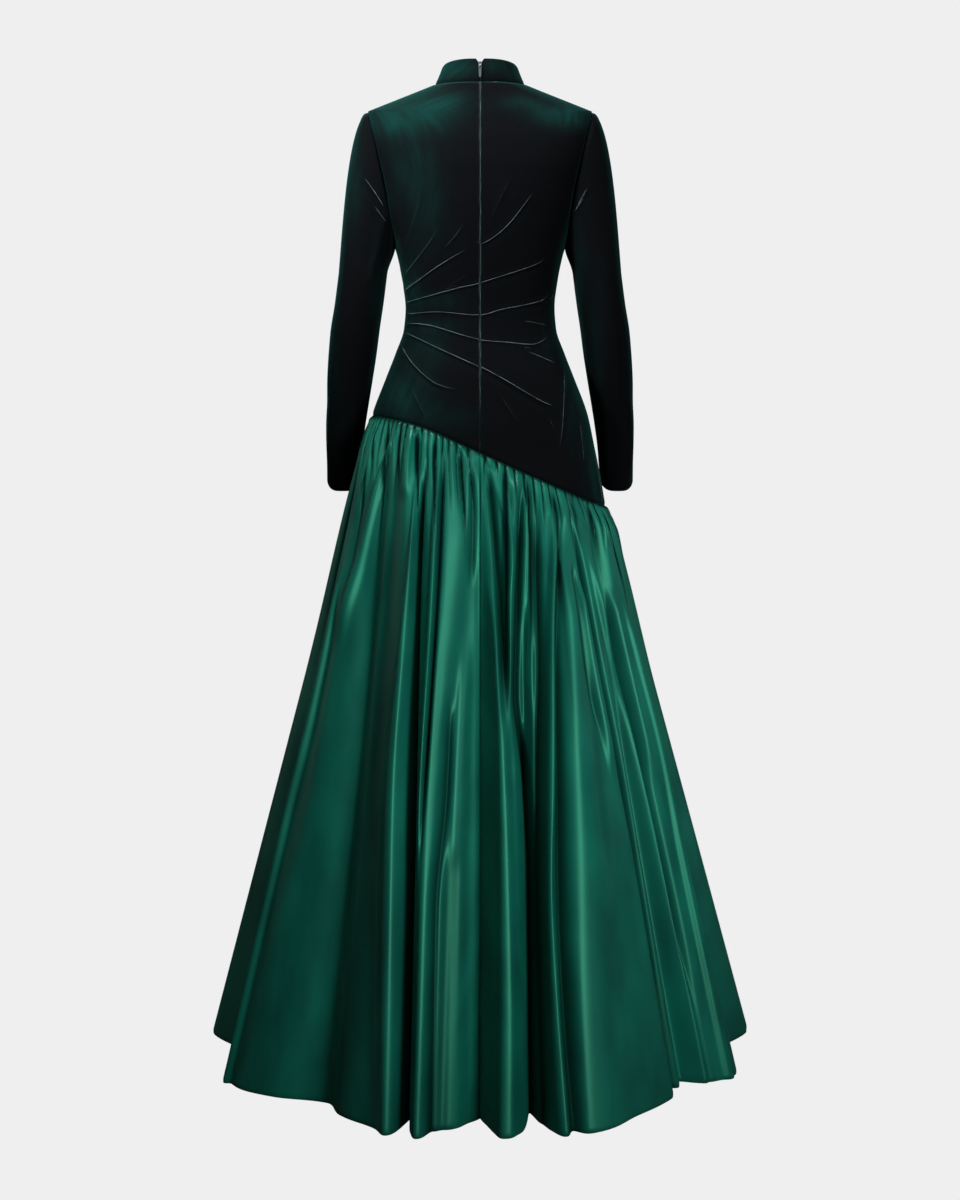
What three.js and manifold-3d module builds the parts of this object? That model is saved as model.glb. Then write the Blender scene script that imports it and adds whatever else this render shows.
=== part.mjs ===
// A floor-length evening gown, hollow and filled out as it is worn: a long-sleeved velvet bodice with a stand
// collar and a closed zip down the back, and a full satin skirt gathered onto a slanting dropped waist seam.
// Millimetres. +Z is up, -Y is towards the front, and +X is towards the wearer's left.
// The origin is in the neck opening, level with the neck ends of the shoulder seams.

import * as THREE from "three";
import { mergeVertices } from "three/addons/utils/BufferGeometryUtils.js";
import Module from "manifold-3d";

const wasm = await Module();
wasm.setup();

// Cloth
const velvetThick = 1.8;
const satinThick = 1.5;
const seamGap = 0.4;
const armholeGap = 0.9;

// Heights of the main lines
const collarHeight = 36;
const sideNeck = { x: 72.5, level: -1 };
const shoulderTip = { x: 180, level: -43 };
const underarmLevel = -253;
const zipEndLevel = -493;
const hemLevel = -1567;

// The dropped waist seam: high at the wearer's left, low at the right
const seamAtCentre = -583;
const seamSlope = 0.45;
const seamFlattensFrom = 60;
const seamFlattening = 0.0018;

// Roundness of the body's sections: 2 is an ellipse and more is squarer. "from" and "over" are places up the
// bodice, as "up" is below.
const sectionPower = 2.35;
const shoulderPower = 2.0;
const shoulderChange = { from: 0.75, over: 0.2 };

// Level rows of the bodice bow down at the front neck, and follow the slant of the waist seam near it
const neckBow = { power: 2.2, from: 0.7, over: 0.3 };
const slantFade = 0.25;

// Half width at the side seam, and depth behind and in front of the centre, from the lowest level up
const torso = [
  { level: -720, side: 213, back: 158, front: 142 },
  { level: -678, side: 206, back: 146, front: 132 },
  { level: -622, side: 196, back: 134, front: 120 },
  { level: -583, side: 188, back: 125, front: 112 },
  { level: -528, side: 176, back: 117, front: 106 },
  { level: -466, side: 152.5, back: 106, front: 101 },
  { level: -427, side: 137, back: 92, front: 96 },
  { level: -388, side: 123.6, back: 78, front: 90 },
  { level: -354, side: 121, back: 73, front: 88 },
  { level: -311, side: 125.7, back: 82, front: 98 },
  { level: -272, side: 133.6, back: 93, front: 115 },
  { level: -253, side: 139.2, back: 98, front: 121 },
  { level: -222, side: 143.5, back: 104, front: 124 },
  { level: -180, side: 149, back: 108, front: 118 },
  { level: -140, side: 157, back: 107, front: 107 },
  { level: -100, side: 166, back: 101, front: 92 },
  { level: -60, side: 176, back: 89, front: 72 },
  { level: -42, side: 180, back: 83, front: 62 },
  { level: 2, side: 180, back: 66, front: 62 },
];

// How far the armhole seam lies behind and before the underarm, and how full its curve is
const armholeBehind = 56;
const armholeBefore = 48;
const armholeFullness = 0.9;

// Rows of the bodice fan out from the left of the waist. "up" runs from the waist seam, 0, to the neckline,
// 1. "left" and "right" are places on the panel's outer edge: 0 to 1 is the side seam, 1 to 2 the armhole
// and 2 to 3 the shoulder seam. "back" and "front" are levels on the centre lines.
const fan = [
  { up: 0.0, left: 0.0, right: 0.0, back: -583, front: -583 },
  { up: 0.1, left: 0.28, right: 0.13, back: -536, front: -538 },
  { up: 0.2, left: 0.44, right: 0.27, back: -490, front: -494 },
  { up: 0.3, left: 0.53, right: 0.43, back: -441, front: -448 },
  { up: 0.4, left: 0.585, right: 0.66, back: -397, front: -404 },
  { up: 0.48, left: 0.635, right: 0.83, back: -359, front: -366 },
  { up: 0.56, left: 0.7, right: 0.99, back: -308, front: -318 },
  { up: 0.66, left: 0.79, right: 1.27, back: -246, front: -262 },
  { up: 0.74, left: 0.94, right: 1.52, back: -188, front: -212 },
  { up: 0.8, left: 1.15, right: 1.7, back: -142, front: -172 },
  { up: 0.86, left: 1.5, right: 1.84, back: -102, front: -132 },
  { up: 0.9, left: 1.76, right: 2.0, back: -76, front: -106 },
  { up: 0.93, left: 2.0, right: 2.22, back: -55, front: -84 },
  { up: 1.0, left: 3.0, right: 3.0, back: -3.5, front: -30 },
];

// Pulled creases, each a ridge along a row of the fan. "from" and "to" are shares of the half width, with the
// wearer's left positive.
const creaseHalfWidth = 0.012;
const creaseFades = { atStart: 0.12, atEnd: 0.25 };
const backCreases = [
  { up: 0.2, from: 1.0, to: 0.12, height: 2.2 },
  { up: 0.3, from: 1.0, to: -0.78, height: 2.4 },
  { up: 0.4, from: 1.0, to: -0.92, height: 2.4 },
  { up: 0.48, from: 1.0, to: -0.9, height: 2.4 },
  { up: 0.56, from: 1.0, to: -0.72, height: 2.4 },
  { up: 0.66, from: 1.0, to: -0.5, height: 2.2 },
  { up: 0.74, from: 0.96, to: 0.45, height: 1.8 },
  { up: 0.8, from: 0.92, to: 0.55, height: 1.6 },
];
const frontCreases = [
  { up: 0.2, from: 1.0, to: 0.2, height: 2.2 },
  { up: 0.3, from: 1.0, to: -0.6, height: 2.4 },
  { up: 0.4, from: 1.0, to: -0.8, height: 2.4 },
  { up: 0.48, from: 1.0, to: -0.7, height: 2.4 },
  { up: 0.56, from: 1.0, to: -0.45, height: 2.2 },
  { up: 0.66, from: 1.0, to: -0.1, height: 2.0 },
];

// Sleeve sections from the upper arm to the cuff, with the arm a little forward at the wrist
const sleeve = [
  { level: -642, x: 229, halfWidth: 27.5, y: -81, halfDepth: 37 },
  { level: -622, x: 228, halfWidth: 28.5, y: -75, halfDepth: 38 },
  { level: -583, x: 226, halfWidth: 30.5, y: -61, halfDepth: 40 },
  { level: -544, x: 222.5, halfWidth: 33, y: -48, halfDepth: 42 },
  { level: -505, x: 217.5, halfWidth: 35, y: -36, halfDepth: 44 },
  { level: -466, x: 213, halfWidth: 37.7, y: -24, halfDepth: 46 },
  { level: -427, x: 208, halfWidth: 39.4, y: -14, halfDepth: 48 },
  { level: -388, x: 203, halfWidth: 40, y: -6, halfDepth: 49 },
  { level: -350, x: 196.5, halfWidth: 39.6, y: -1, halfDepth: 50 },
  { level: -300, x: 189.5, halfWidth: 39.4, y: 3, halfDepth: 51 },
];
const sleeveTopLevel = -300;

// How the sleeve head leaves the armhole and meets the upper arm, at the underarm and at the top
const headLeaves = { underarm: { x: 8, level: -50 }, top: { x: 94, level: -55 }, spread: 14 };
const headMeets = { underarm: { x: 10, level: -50 }, top: { x: 24, level: -265 } };

// Folds of the skirt, once round from the centre back by the wearer's left. "seam" is the share of the half
// girth at the waist seam where a fold line starts, and "angle" and "radius" are where it meets the hem.
const folds = [
  { seam: 0.0, angle: 0, radius: 410 },
  { seam: 0.035, angle: 3.5, radius: 436 },
  { seam: 0.075, angle: 8, radius: 468 },
  { seam: 0.11, angle: 11.2, radius: 486 },
  { seam: 0.135, angle: 12.8, radius: 470 },
  { seam: 0.16, angle: 13.9, radius: 424 },
  { seam: 0.175, angle: 14.9, radius: 466 },
  { seam: 0.19, angle: 17, radius: 480 },
  { seam: 0.215, angle: 22, radius: 466 },
  { seam: 0.245, angle: 28.5, radius: 454 },
  { seam: 0.28, angle: 34.5, radius: 417 },
  { seam: 0.33, angle: 45, radius: 438 },
  { seam: 0.4, angle: 58, radius: 466 },
  { seam: 0.435, angle: 65, radius: 444 },
  { seam: 0.465, angle: 74, radius: 402 },
  { seam: 0.5, angle: 90, radius: 454 },
  { seam: 0.54, angle: 103, radius: 414 },
  { seam: 0.57, angle: 110, radius: 444 },
  { seam: 0.61, angle: 121, radius: 456 },
  { seam: 0.65, angle: 130, radius: 440 },
  { seam: 0.675, angle: 134.5, radius: 402 },
  { seam: 0.705, angle: 140, radius: 440 },
  { seam: 0.76, angle: 151, radius: 458 },
  { seam: 0.8, angle: 158, radius: 444 },
  { seam: 0.83, angle: 162, radius: 398 },
  { seam: 0.86, angle: 166, radius: 436 },
  { seam: 0.91, angle: 174, radius: 452 },
  { seam: 0.955, angle: 181, radius: 440 },
  { seam: 0.985, angle: 185.5, radius: 396 },
  { seam: 1.02, angle: 190, radius: 438 },
  { seam: 1.08, angle: 200, radius: 456 },
  { seam: 1.13, angle: 209, radius: 442 },
  { seam: 1.16, angle: 214, radius: 400 },
  { seam: 1.19, angle: 218.5, radius: 440 },
  { seam: 1.25, angle: 229, radius: 458 },
  { seam: 1.3, angle: 239, radius: 444 },
  { seam: 1.33, angle: 244, radius: 404 },
  { seam: 1.365, angle: 249.5, radius: 440 },
  { seam: 1.43, angle: 259, radius: 456 },
  { seam: 1.5, angle: 270, radius: 454 },
  { seam: 1.535, angle: 284, radius: 404 },
  { seam: 1.6, angle: 298, radius: 462 },
  { seam: 1.66, angle: 304, radius: 446 },
  { seam: 1.71, angle: 308.6, radius: 400 },
  { seam: 1.735, angle: 313, radius: 428 },
  { seam: 1.765, angle: 321, radius: 446 },
  { seam: 1.8, angle: 331, radius: 464 },
  { seam: 1.84, angle: 341.5, radius: 481 },
  { seam: 1.875, angle: 347, radius: 470 },
  { seam: 1.915, angle: 349.5, radius: 414 },
  { seam: 1.945, angle: 353, radius: 472 },
  { seam: 1.965, angle: 356.5, radius: 474 },
  { seam: 1.99, angle: 359, radius: 430 },
  { seam: 2.0, angle: 360, radius: 410 },
];
const foldMeanRadius = 446;
const foldGrowth = 0.62;
const gatherHeight = 2.4;
const gatherUnevenness = { share: 0.35, waves: 41 };
const gatherFade = { from: 0.03, over: 0.16 };
const gathersPerShare = 46;
const seamPuff = { left: 4, right: 8, fullAt: 0.05, fadesOver: 0.3 };

// Mesh
const halfColumns = 12;
const sleeveColumns = 20;
const bodiceRows = 20;
const rowClearance = 0.014;
const headRows = [0, 0.06, 0.16, 0.3, 0.46, 0.64, 0.82];
const collarRows = [0, 0.35, 0.8, 1];
const collarEnds = [0, 0.012, 0.028, 0.045];
const shoulderRows = [0.83, 0.86, 0.88, 0.9, 0.93, 0.965, 1];
const gatheredRows = [0.012, 0.035, 0.075, 0.14];
const plainSkirtRows = [0.24, 0.37, 0.52, 0.68, 0.84, 1];
const skirtInsideSkips = [0.075, 0.37, 0.68, 0.84];

// Collar
const collarNarrowing = 0.83;
const collarTilt = 0.91;
const collarCurve = 0.8;
const collarCorner = 10;

// Zip. The slider's and the pull's sizes are along the collar's slope from the pull's hinge.
const tapeHalfWidth = 9;
const tapeThick = 1.0;
const tapeClearance = 0.5;
const coil = { depth: 1.6, halfWidth: 1.5, footHalfWidth: 2.5 };
const zipTopLevel = 24;
const slider = {
  width: 5.2,
  low: -3.4,
  high: 7.6,
  thick: 1.3,
  eyeInner: 1.1,
  eyeOuter: 2.1,
  eyeWidth: 1.7,
  grip: 8.2,
  neckLow: 5.8,
  neckWidth: 1,
  cornerRadius: 1.6,
  backThick: 1.6,
  backWidth: 6,
};
const pull = {
  length: 18,
  width: 4.6,
  tipWidth: 3.4,
  tipCut: { up: 2, across: 0.8 },
  thick: 0.9,
  barHalf: 0.5,
  slotLength: 3.1,
  slotWidth: 2.7,
  slotCorner: 0.3,
  shoulder: 1,
};
const pullPivot = { rise: 23.8, standOff: 2.9 };

const velvet = new THREE.MeshStandardMaterial({ color: 0x06201b, roughness: 0.9, metalness: 0 });
const satin = new THREE.MeshStandardMaterial({ color: 0x0f5c44, roughness: 0.38, metalness: 0 });
const tape = new THREE.MeshStandardMaterial({ color: 0x07211b, roughness: 0.8, metalness: 0 });
const metal = new THREE.MeshStandardMaterial({ color: 0xb9bfc2, roughness: 0.25, metalness: 1 });

const mix = (a, b, share) => a + (b - a) * share;
const clamp01 = (x) => Math.min(1, Math.max(0, x));
const smooth = (x) => clamp01(x) ** 2 * (3 - 2 * clamp01(x));
const ease = (x, { from, over }) => smooth((x - from) / over);

// The value of a column at x, as a smooth curve through the rows that never overshoots them.
function along(rows, key, x, column) {
  const last = rows.length - 1;
  if (x <= rows[0][key]) return rows[0][column];
  if (x >= rows[last][key]) return rows[last][column];
  const i = rows.findIndex((row, n) => n < last && x <= rows[n + 1][key]);
  const rise = (n) => (rows[n + 1][column] - rows[n][column]) / (rows[n + 1][key] - rows[n][key]);
  const slope = (n) => {
    if (n === 0) return rise(0);
    if (n === last) return rise(last - 1);
    const before = rise(n - 1);
    const after = rise(n);
    return before * after <= 0 ? 0 : (2 * before * after) / (before + after);
  };
  const step = rows[i + 1][key] - rows[i][key];
  const t = (x - rows[i][key]) / step;
  const low = (1 + 2 * t) * (1 - t) ** 2 * rows[i][column] + t * (1 - t) ** 2 * step * slope(i);
  const high = t * t * (3 - 2 * t) * rows[i + 1][column] - t * t * (1 - t) * step * slope(i + 1);
  return low + high;
}

const seamLevel = (x) =>
  seamAtCentre + seamSlope * x - seamFlattening * Math.max(0, x - seamFlattensFrom) ** 2;

// The point where the waist seam crosses a side seam.
function seamSide(side) {
  let level = seamAtCentre;
  for (let n = 0; n < 20; n++) level = seamLevel(side * along(torso, "level", level, "side"));
  return { x: along(torso, "level", level, "side"), level };
}
const seamSides = { left: seamSide(1), right: seamSide(-1) };

// A point on a bodice panel's outer edge: side seam, armhole, then shoulder seam. x is for the left side.
function edgePoint(place, end, behind) {
  if (place <= 1) {
    const level = mix(end.level, underarmLevel, place);
    return { x: along(torso, "level", level, "side"), y: 0, level };
  }
  if (place <= 2) {
    const turn = (place - 1) * Math.PI;
    const level = mix(underarmLevel, shoulderTip.level, (1 - Math.cos(turn)) / 2);
    const y = (behind ? armholeBehind : armholeBefore) * Math.sin(turn) ** armholeFullness;
    return { x: along(torso, "level", level, "side"), y, level };
  }
  return {
    x: mix(shoulderTip.x, sideNeck.x, place - 2),
    y: 0,
    level: mix(shoulderTip.level, sideNeck.level, place - 2),
  };
}

// A point on the bodice. "across" runs from 1 at the wearer's left edge by 0 at the centre line to -1.
function bodicePoint(up, across, behind) {
  const face = behind ? "back" : "front";
  const side = across >= 0 ? "left" : "right";
  const edge = edgePoint(along(fan, "up", up, side), seamSides[side], behind);
  const power = mix(sectionPower, shoulderPower, ease(up, shoulderChange));
  const depth = along(torso, "level", edge.level, face);
  const turnAtEdge = Math.acos(Math.min(1, edge.y / depth) ** (power / 2));
  const full = edge.x / Math.sin(turnAtEdge) ** (2 / power);
  const turn = turnAtEdge * Math.abs(across);
  const x = full * Math.sin(turn) ** (2 / power);
  const share = x / edge.x;
  const bow = behind ? 1 : mix(1, neckBow.power, ease(up, neckBow));
  const centreLevel = along(fan, "up", up, face);
  const end = seamSides[side];
  const slant = seamLevel(Math.sign(across) * share * end.x) - mix(seamAtCentre, end.level, share);
  const level = mix(centreLevel, edge.level, share ** bow) + slant * (1 - smooth(up / slantFade));
  const y = along(torso, "level", level, face) * Math.cos(turn) ** (2 / power);
  return new THREE.Vector3(Math.sign(across) * x, behind ? y : -y, level);
}

// How far the creases stand out at a place on a panel.
function creaseHeight(creases, up, across) {
  return creases.reduce((sum, crease) => {
    const off = Math.abs(up - crease.up) / creaseHalfWidth;
    const atStart = smooth((crease.from - across) / creaseFades.atStart + 1);
    const atEnd = smooth((across - crease.to) / creaseFades.atEnd);
    return sum + crease.height * atStart * atEnd * Math.max(0, 1 - off);
  }, 0);
}

// A grid is a list of rows from the bottom up, each { points, at }, where "at" says how far across each
// point lies. These are the outward normals of a grid whose rows are all alike, its columns running to the
// right as seen from outside.
function gridNormals(rows, closed) {
  const last = rows.length - 1;
  return rows.map(({ points }, r) =>
    points.map((_, c) => {
      const end = points.length - 1;
      const left = closed && c === 0 ? points[end - 1] : points[Math.max(0, c - 1)];
      const right = closed && c === end ? points[1] : points[Math.min(end, c + 1)];
      const below = rows[Math.max(0, r - 1)].points[c];
      const above = rows[Math.min(last, r + 1)].points[c];
      const across = new THREE.Vector3().subVectors(right, left);
      const upward = new THREE.Vector3().subVectors(above, below);
      return across.cross(upward).normalize();
    }),
  );
}

// A closed wall between an outer and an inner grid, which may differ in how fine they are. A tube's rows
// end on the point that they start from.
function wall(outer, inner, tube) {
  const positions = [];
  const index = [];
  const number = ({ points, at }) => {
    const ids = points.map((p) => positions.push(p.x, p.y, p.z) / 3 - 1);
    if (tube) ids[ids.length - 1] = ids[0];
    return { ids, at };
  };
  // Triangles between two rows of points, stepping along whichever lags.
  const stitch = (low, high) => {
    let i = 0;
    let j = 0;
    while (i < low.ids.length - 1 || j < high.ids.length - 1) {
      const highDone = j === high.ids.length - 1;
      const stepLow = highDone || (i < low.ids.length - 1 && low.at[i + 1] <= high.at[j + 1] + 1e-9);
      if (stepLow) index.push(low.ids[i], low.ids[++i], high.ids[j]);
      else index.push(low.ids[i], high.ids[j + 1], high.ids[j++]);
    }
  };
  const outside = outer.map(number);
  const inside = inner.map(number);
  const round = [...outside, ...inside.toReversed()];
  round.forEach((row, r) => stitch(row, round[(r + 1) % round.length]));
  if (!tube) {
    const column = (rows, source, end) => ({
      ids: rows.map((row) => row.ids.at(end)),
      at: source.map((row) => row.up),
    });
    stitch(column(outside, outer, 0), column(inside, inner, 0));
    stitch(column(inside, inner, -1), column(outside, outer, -1));
  }
  const geometry = new THREE.BufferGeometry();
  geometry.setAttribute("position", new THREE.BufferAttribute(new Float32Array(positions), 3));
  geometry.setIndex(index);
  return geometry;
}

const spaced = (count) => Array.from({ length: count + 1 }, (_, n) => n / count);
const everyOther = (list) => list.filter((_, i) => i % 2 === 0 || i === list.length - 1);

const gown = new THREE.Group();
gown.name = "evening_gown";

function addMesh(name, geometry, material) {
  const mesh = new THREE.Mesh(geometry, material);
  mesh.name = name;
  gown.add(mesh);
  return mesh;
}

// Direction in which a bodice panel's edge gives its thickness, so that two panels meet face to face.
function edgeDirection(up, across, normal, behind) {
  const direction = normal.clone();
  if (Math.abs(across) === 1) {
    const place = along(fan, "up", up, across > 0 ? "left" : "right");
    if (place > 1 && place < 2) {
      const edge = edgePoint(place, seamSides.left, behind);
      direction.set(0, behind ? edge.y : -edge.y, edge.level - mix(underarmLevel, shoulderTip.level, 0.5));
    } else direction.y = 0;
  } else if (across === 0 && behind) direction.x = 0;
  if (up === 0) direction.z = 0;
  return direction.normalize();
}

// A bodice panel between two places across, its creases raised over a plain inside. It gives back its grids.
function bodicePanel(name, from, to, columns, creases, behind) {
  const creaseRows = creases.flatMap((c) => [c.up - creaseHalfWidth, c.up, c.up + creaseHalfWidth]);
  const evenRows = spaced(bodiceRows).filter((up) => up < shoulderRows[0] - rowClearance);
  const plainRows = [...evenRows, ...shoulderRows].filter((up) =>
    creaseRows.every((row) => Math.abs(row - up) > rowClearance),
  );
  const upAt = [...plainRows, ...creaseRows].sort((a, b) => a - b);
  const at = spaced(columns);
  const across = at.map((share) => mix(from, to, share));
  const centre = behind ? (Math.sign(from + to) * seamGap) / 2 : 0;
  const base = upAt.map((up) => ({
    points: across.map((place) => bodicePoint(up, place, behind)),
  }));
  const normals = gridNormals(base, false);
  const grid = (raised) =>
    upAt.map((up, r) => ({
      up,
      at,
      points: base[r].points.map((point, c) => {
        const lift = raised ? creaseHeight(creases, up, across[c]) : -velvetThick;
        const direction = edgeDirection(up, across[c], normals[r][c], behind);
        const moved = point.clone().addScaledVector(direction, lift);
        if (across[c] === 0) moved.x = centre;
        const facing = behind ? 1 : -1;
        if (Math.abs(across[c]) === 1) moved.y = facing * Math.max(facing * moved.y, seamGap / 2);
        return moved;
      }),
    }));
  const outer = grid(true);
  const inner = everyOther(grid(false));
  addMesh(name, wall(outer, inner, false), velvet);
  return { outer, inner, across };
}

const backLeft = bodicePanel("bodice_back_left", 1, 0, halfColumns, backCreases, true);
const backRight = bodicePanel("bodice_back_right", 0, -1, halfColumns, backCreases, true);
const front = bodicePanel("bodice_front", -1, 1, 2 * halfColumns, frontCreases, false);

// A place along one row of a panel's grid.
function onRow(row, across, place) {
  const c = across.findIndex((_, n) => n > 0 && (across[n - 1] - place) * (across[n] - place) <= 0);
  const share = (place - across[c - 1]) / (across[c] - across[c - 1]);
  return row.points[c - 1].clone().lerp(row.points[c], share);
}

// Sleeves. Turn 0 is the underarm, a quarter turn is the back, a half turn the top of the shoulder.
function armholePoint(turn) {
  const behind = turn <= Math.PI;
  const edge = edgePoint(1 + (behind ? turn : 2 * Math.PI - turn) / Math.PI, seamSides.left, behind);
  return new THREE.Vector3(edge.x + armholeGap, behind ? edge.y : -edge.y, edge.level);
}

function sleeveSection(level, turn) {
  const at = (column) => along(sleeve, "level", level, column);
  const x = at("x") - at("halfWidth") * Math.cos(turn);
  return new THREE.Vector3(x, at("y") + at("halfDepth") * Math.sin(turn), level);
}

// The head of the sleeve, from the armhole, 0, to the upper arm, 1.
function sleeveHead(share, turn) {
  const raised = (1 - Math.cos(turn)) / 2;
  const start = armholePoint(turn);
  const end = sleeveSection(sleeveTopLevel, turn);
  const between = ({ underarm, top }, column) => mix(underarm[column], top[column], raised);
  const spread = headLeaves.spread * Math.sin(turn);
  const leave = new THREE.Vector3(between(headLeaves, "x"), spread, between(headLeaves, "level"));
  const arrive = new THREE.Vector3(between(headMeets, "x"), 0, between(headMeets, "level"));
  const [s2, s3] = [share ** 2, share ** 3];
  return start
    .multiplyScalar(2 * s3 - 3 * s2 + 1)
    .addScaledVector(leave, s3 - 2 * s2 + share)
    .addScaledVector(end, 3 * s2 - 2 * s3)
    .addScaledVector(arrive, s3 - s2);
}

function sleeveWall(side) {
  const at = spaced(sleeveColumns);
  const turns = at.map((share) => share * 2 * Math.PI);
  const levels = sleeve.map((section) => section.level);
  const base = [
    ...levels.map((level) => ({ points: turns.map((turn) => sleeveSection(level, turn)) })),
    ...headRows.toReversed().map((share) => ({ points: turns.map((turn) => sleeveHead(share, turn)) })),
  ].map((row, up) => ({ ...row, up, at }));
  const armholeCentre = new THREE.Vector3(0, 0, mix(underarmLevel, shoulderTip.level, 0.5));
  const normals = gridNormals(base, true);
  const inner = base.map((row, r) => ({
    ...row,
    points: row.points.map((point, c) => {
      const direction = normals[r][c].clone().negate();
      if (r === 0) direction.setZ(0);
      if (r === base.length - 1) direction.subVectors(point, armholeCentre).setX(0);
      return point.clone().addScaledVector(direction.normalize(), -velvetThick);
    }),
  }));
  // The turns above run to the left as seen from outside, so the wearer's left sleeve is turned round.
  const facing = (rows) =>
    rows.map((row) => ({
      ...row,
      points: (side > 0 ? row.points.toReversed() : row.points).map((p) => p.clone().setX(side * p.x)),
    }));
  return wall(facing(base), facing(everyOther(inner)), true);
}
addMesh("sleeve_left", sleeveWall(1), velvet);
addMesh("sleeve_right", sleeveWall(-1), velvet);

// The stand collar goes once round the neckline from the right of the centre back, leaning inwards.
const backHalf = [...collarEnds, ...spaced(halfColumns).slice(1)];
const neckline = [
  ...backHalf.map((across) => ({ panel: backRight, across: -across })),
  ...spaced(2 * halfColumns)
    .slice(1, -1)
    .map((share) => ({ panel: front, across: mix(-1, 1, share) })),
  ...backHalf.toReversed().map((across) => ({ panel: backLeft, across })),
];

function collarGrid(sink) {
  const at = spaced(neckline.length - 1);
  const base = collarRows.map((rise, up) => ({
    up,
    at,
    points: neckline.map(({ panel, across }, c) => {
      const foot = onRow(panel.outer.at(-1), panel.across, across);
      const fromEnd = Math.min(1, Math.abs(foot.x) / collarCorner);
      const atBack = panel !== front;
      const drop = atBack ? collarCorner * (1 - Math.sqrt(1 - (1 - fromEnd) ** 2)) : 0;
      const lean = rise ** collarCurve;
      const x = c === 0 || c === neckline.length - 1 ? foot.x : foot.x * mix(1, collarNarrowing, lean);
      const y = foot.y * mix(1, collarTilt, lean);
      return new THREE.Vector3(x, y, foot.z + seamGap + rise * (collarHeight - drop));
    }),
  }));
  if (sink === 0) return base;
  const normals = gridNormals(base, false);
  return base.map((row, r) => ({
    ...row,
    points: row.points.map((point, c) => {
      const direction = normals[r][c];
      if (r === 0 || r === collarRows.length - 1) direction.setZ(0);
      if (c === 0 || c === row.points.length - 1) direction.setX(0);
      return point.clone().addScaledVector(direction.normalize(), -sink);
    }),
  }));
}
const collarOuter = collarGrid(0);
const collarInner = collarGrid(velvetThick);
addMesh("collar_stand", wall(collarOuter, collarInner, false), velvet);

// The zip's tape lies inside the back panels and the collar, its coil along the middle of its inner side.
function zipTape() {
  const lining = [
    ...backLeft.inner.map((row, r) => ({ left: row.points, right: backRight.inner[r].points })),
    ...collarInner.map((row) => ({ left: row.points, right: row.points })),
  ].filter(({ left }) => left.at(-1).z > zipEndLevel && left.at(-1).z < zipTopLevel);
  const half = [
    { x: tapeHalfWidth, sink: 0 },
    { x: coil.footHalfWidth, sink: 0 },
    { x: coil.halfWidth, sink: coil.depth },
  ];
  const across = [...half, ...half.toReversed().map(({ x, sink }) => ({ x: -x, sink }))];
  // A point of a row at x, found outwards from the centre back.
  const onLining = ({ left, right }, x) => {
    const points = x > 0 ? left.toReversed() : right;
    const n = points.findIndex((point) => Math.abs(point.x) >= Math.abs(x));
    const [near, far] = [points[n - 1], points[n]];
    return near.clone().lerp(far, (x - near.x) / (far.x - near.x));
  };
  const at = across.map((_, n) => n);
  const grid = (depth) =>
    lining.map((row, up) => ({
      up,
      at,
      points: across.map(({ x, sink }) => {
        const point = onLining(row, x);
        point.y -= depth + (depth > tapeClearance ? sink : 0);
        return point;
      }),
    }));
  return wall(grid(tapeClearance), grid(tapeClearance + tapeThick), false);
}
addMesh("zip_tape", zipTape(), tape);

// The slider and its pull are made about the pull's hinge, with local z up the collar and local y out of it.
function toSolid(geometry) {
  geometry.deleteAttribute("normal");
  geometry.deleteAttribute("uv");
  const merged = mergeVertices(geometry, 1e-4);
  const vertProperties = new Float32Array(merged.attributes.position.array);
  const triVerts = new Uint32Array(merged.index.array);
  return new wasm.Manifold(new wasm.Mesh({ numProp: 3, vertProperties, triVerts }));
}

function toGeometry(solid) {
  const { vertProperties, triVerts } = solid.getMesh();
  const geometry = new THREE.BufferGeometry();
  geometry.setAttribute("position", new THREE.BufferAttribute(new Float32Array(vertProperties), 3));
  geometry.setIndex([...triVerts]);
  return geometry;
}

// A block between two corners.
function block(low, high) {
  const size = high.map((value, n) => value - low[n]);
  const geometry = new THREE.BoxGeometry(...size);
  return geometry.translate(...high.map((value, n) => (value + low[n]) / 2));
}

// A flat plate in the local xz plane, from an outline and holes.
function plate(outline, thick, hole) {
  const shape = new THREE.Shape(outline);
  if (hole) shape.holes.push(new THREE.Path(hole));
  const geometry = new THREE.ExtrudeGeometry(shape, { depth: thick, bevelEnabled: false, curveSegments: 6 });
  return geometry.rotateX(Math.PI / 2).translate(0, thick / 2, 0);
}

function rounded(halfWidth, low, high, radius) {
  const corner = (x, z, from) =>
    [0, 1, 2, 3].map((n) => {
      const turn = from + (n / 3) * (Math.PI / 2);
      return new THREE.Vector2(x + radius * Math.cos(turn), z + radius * Math.sin(turn));
    });
  return [
    ...corner(halfWidth - radius, high - radius, 0),
    ...corner(-halfWidth + radius, high - radius, Math.PI / 2),
    ...corner(-halfWidth + radius, low + radius, Math.PI),
    ...corner(halfWidth - radius, low + radius, 1.5 * Math.PI),
  ];
}

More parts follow.
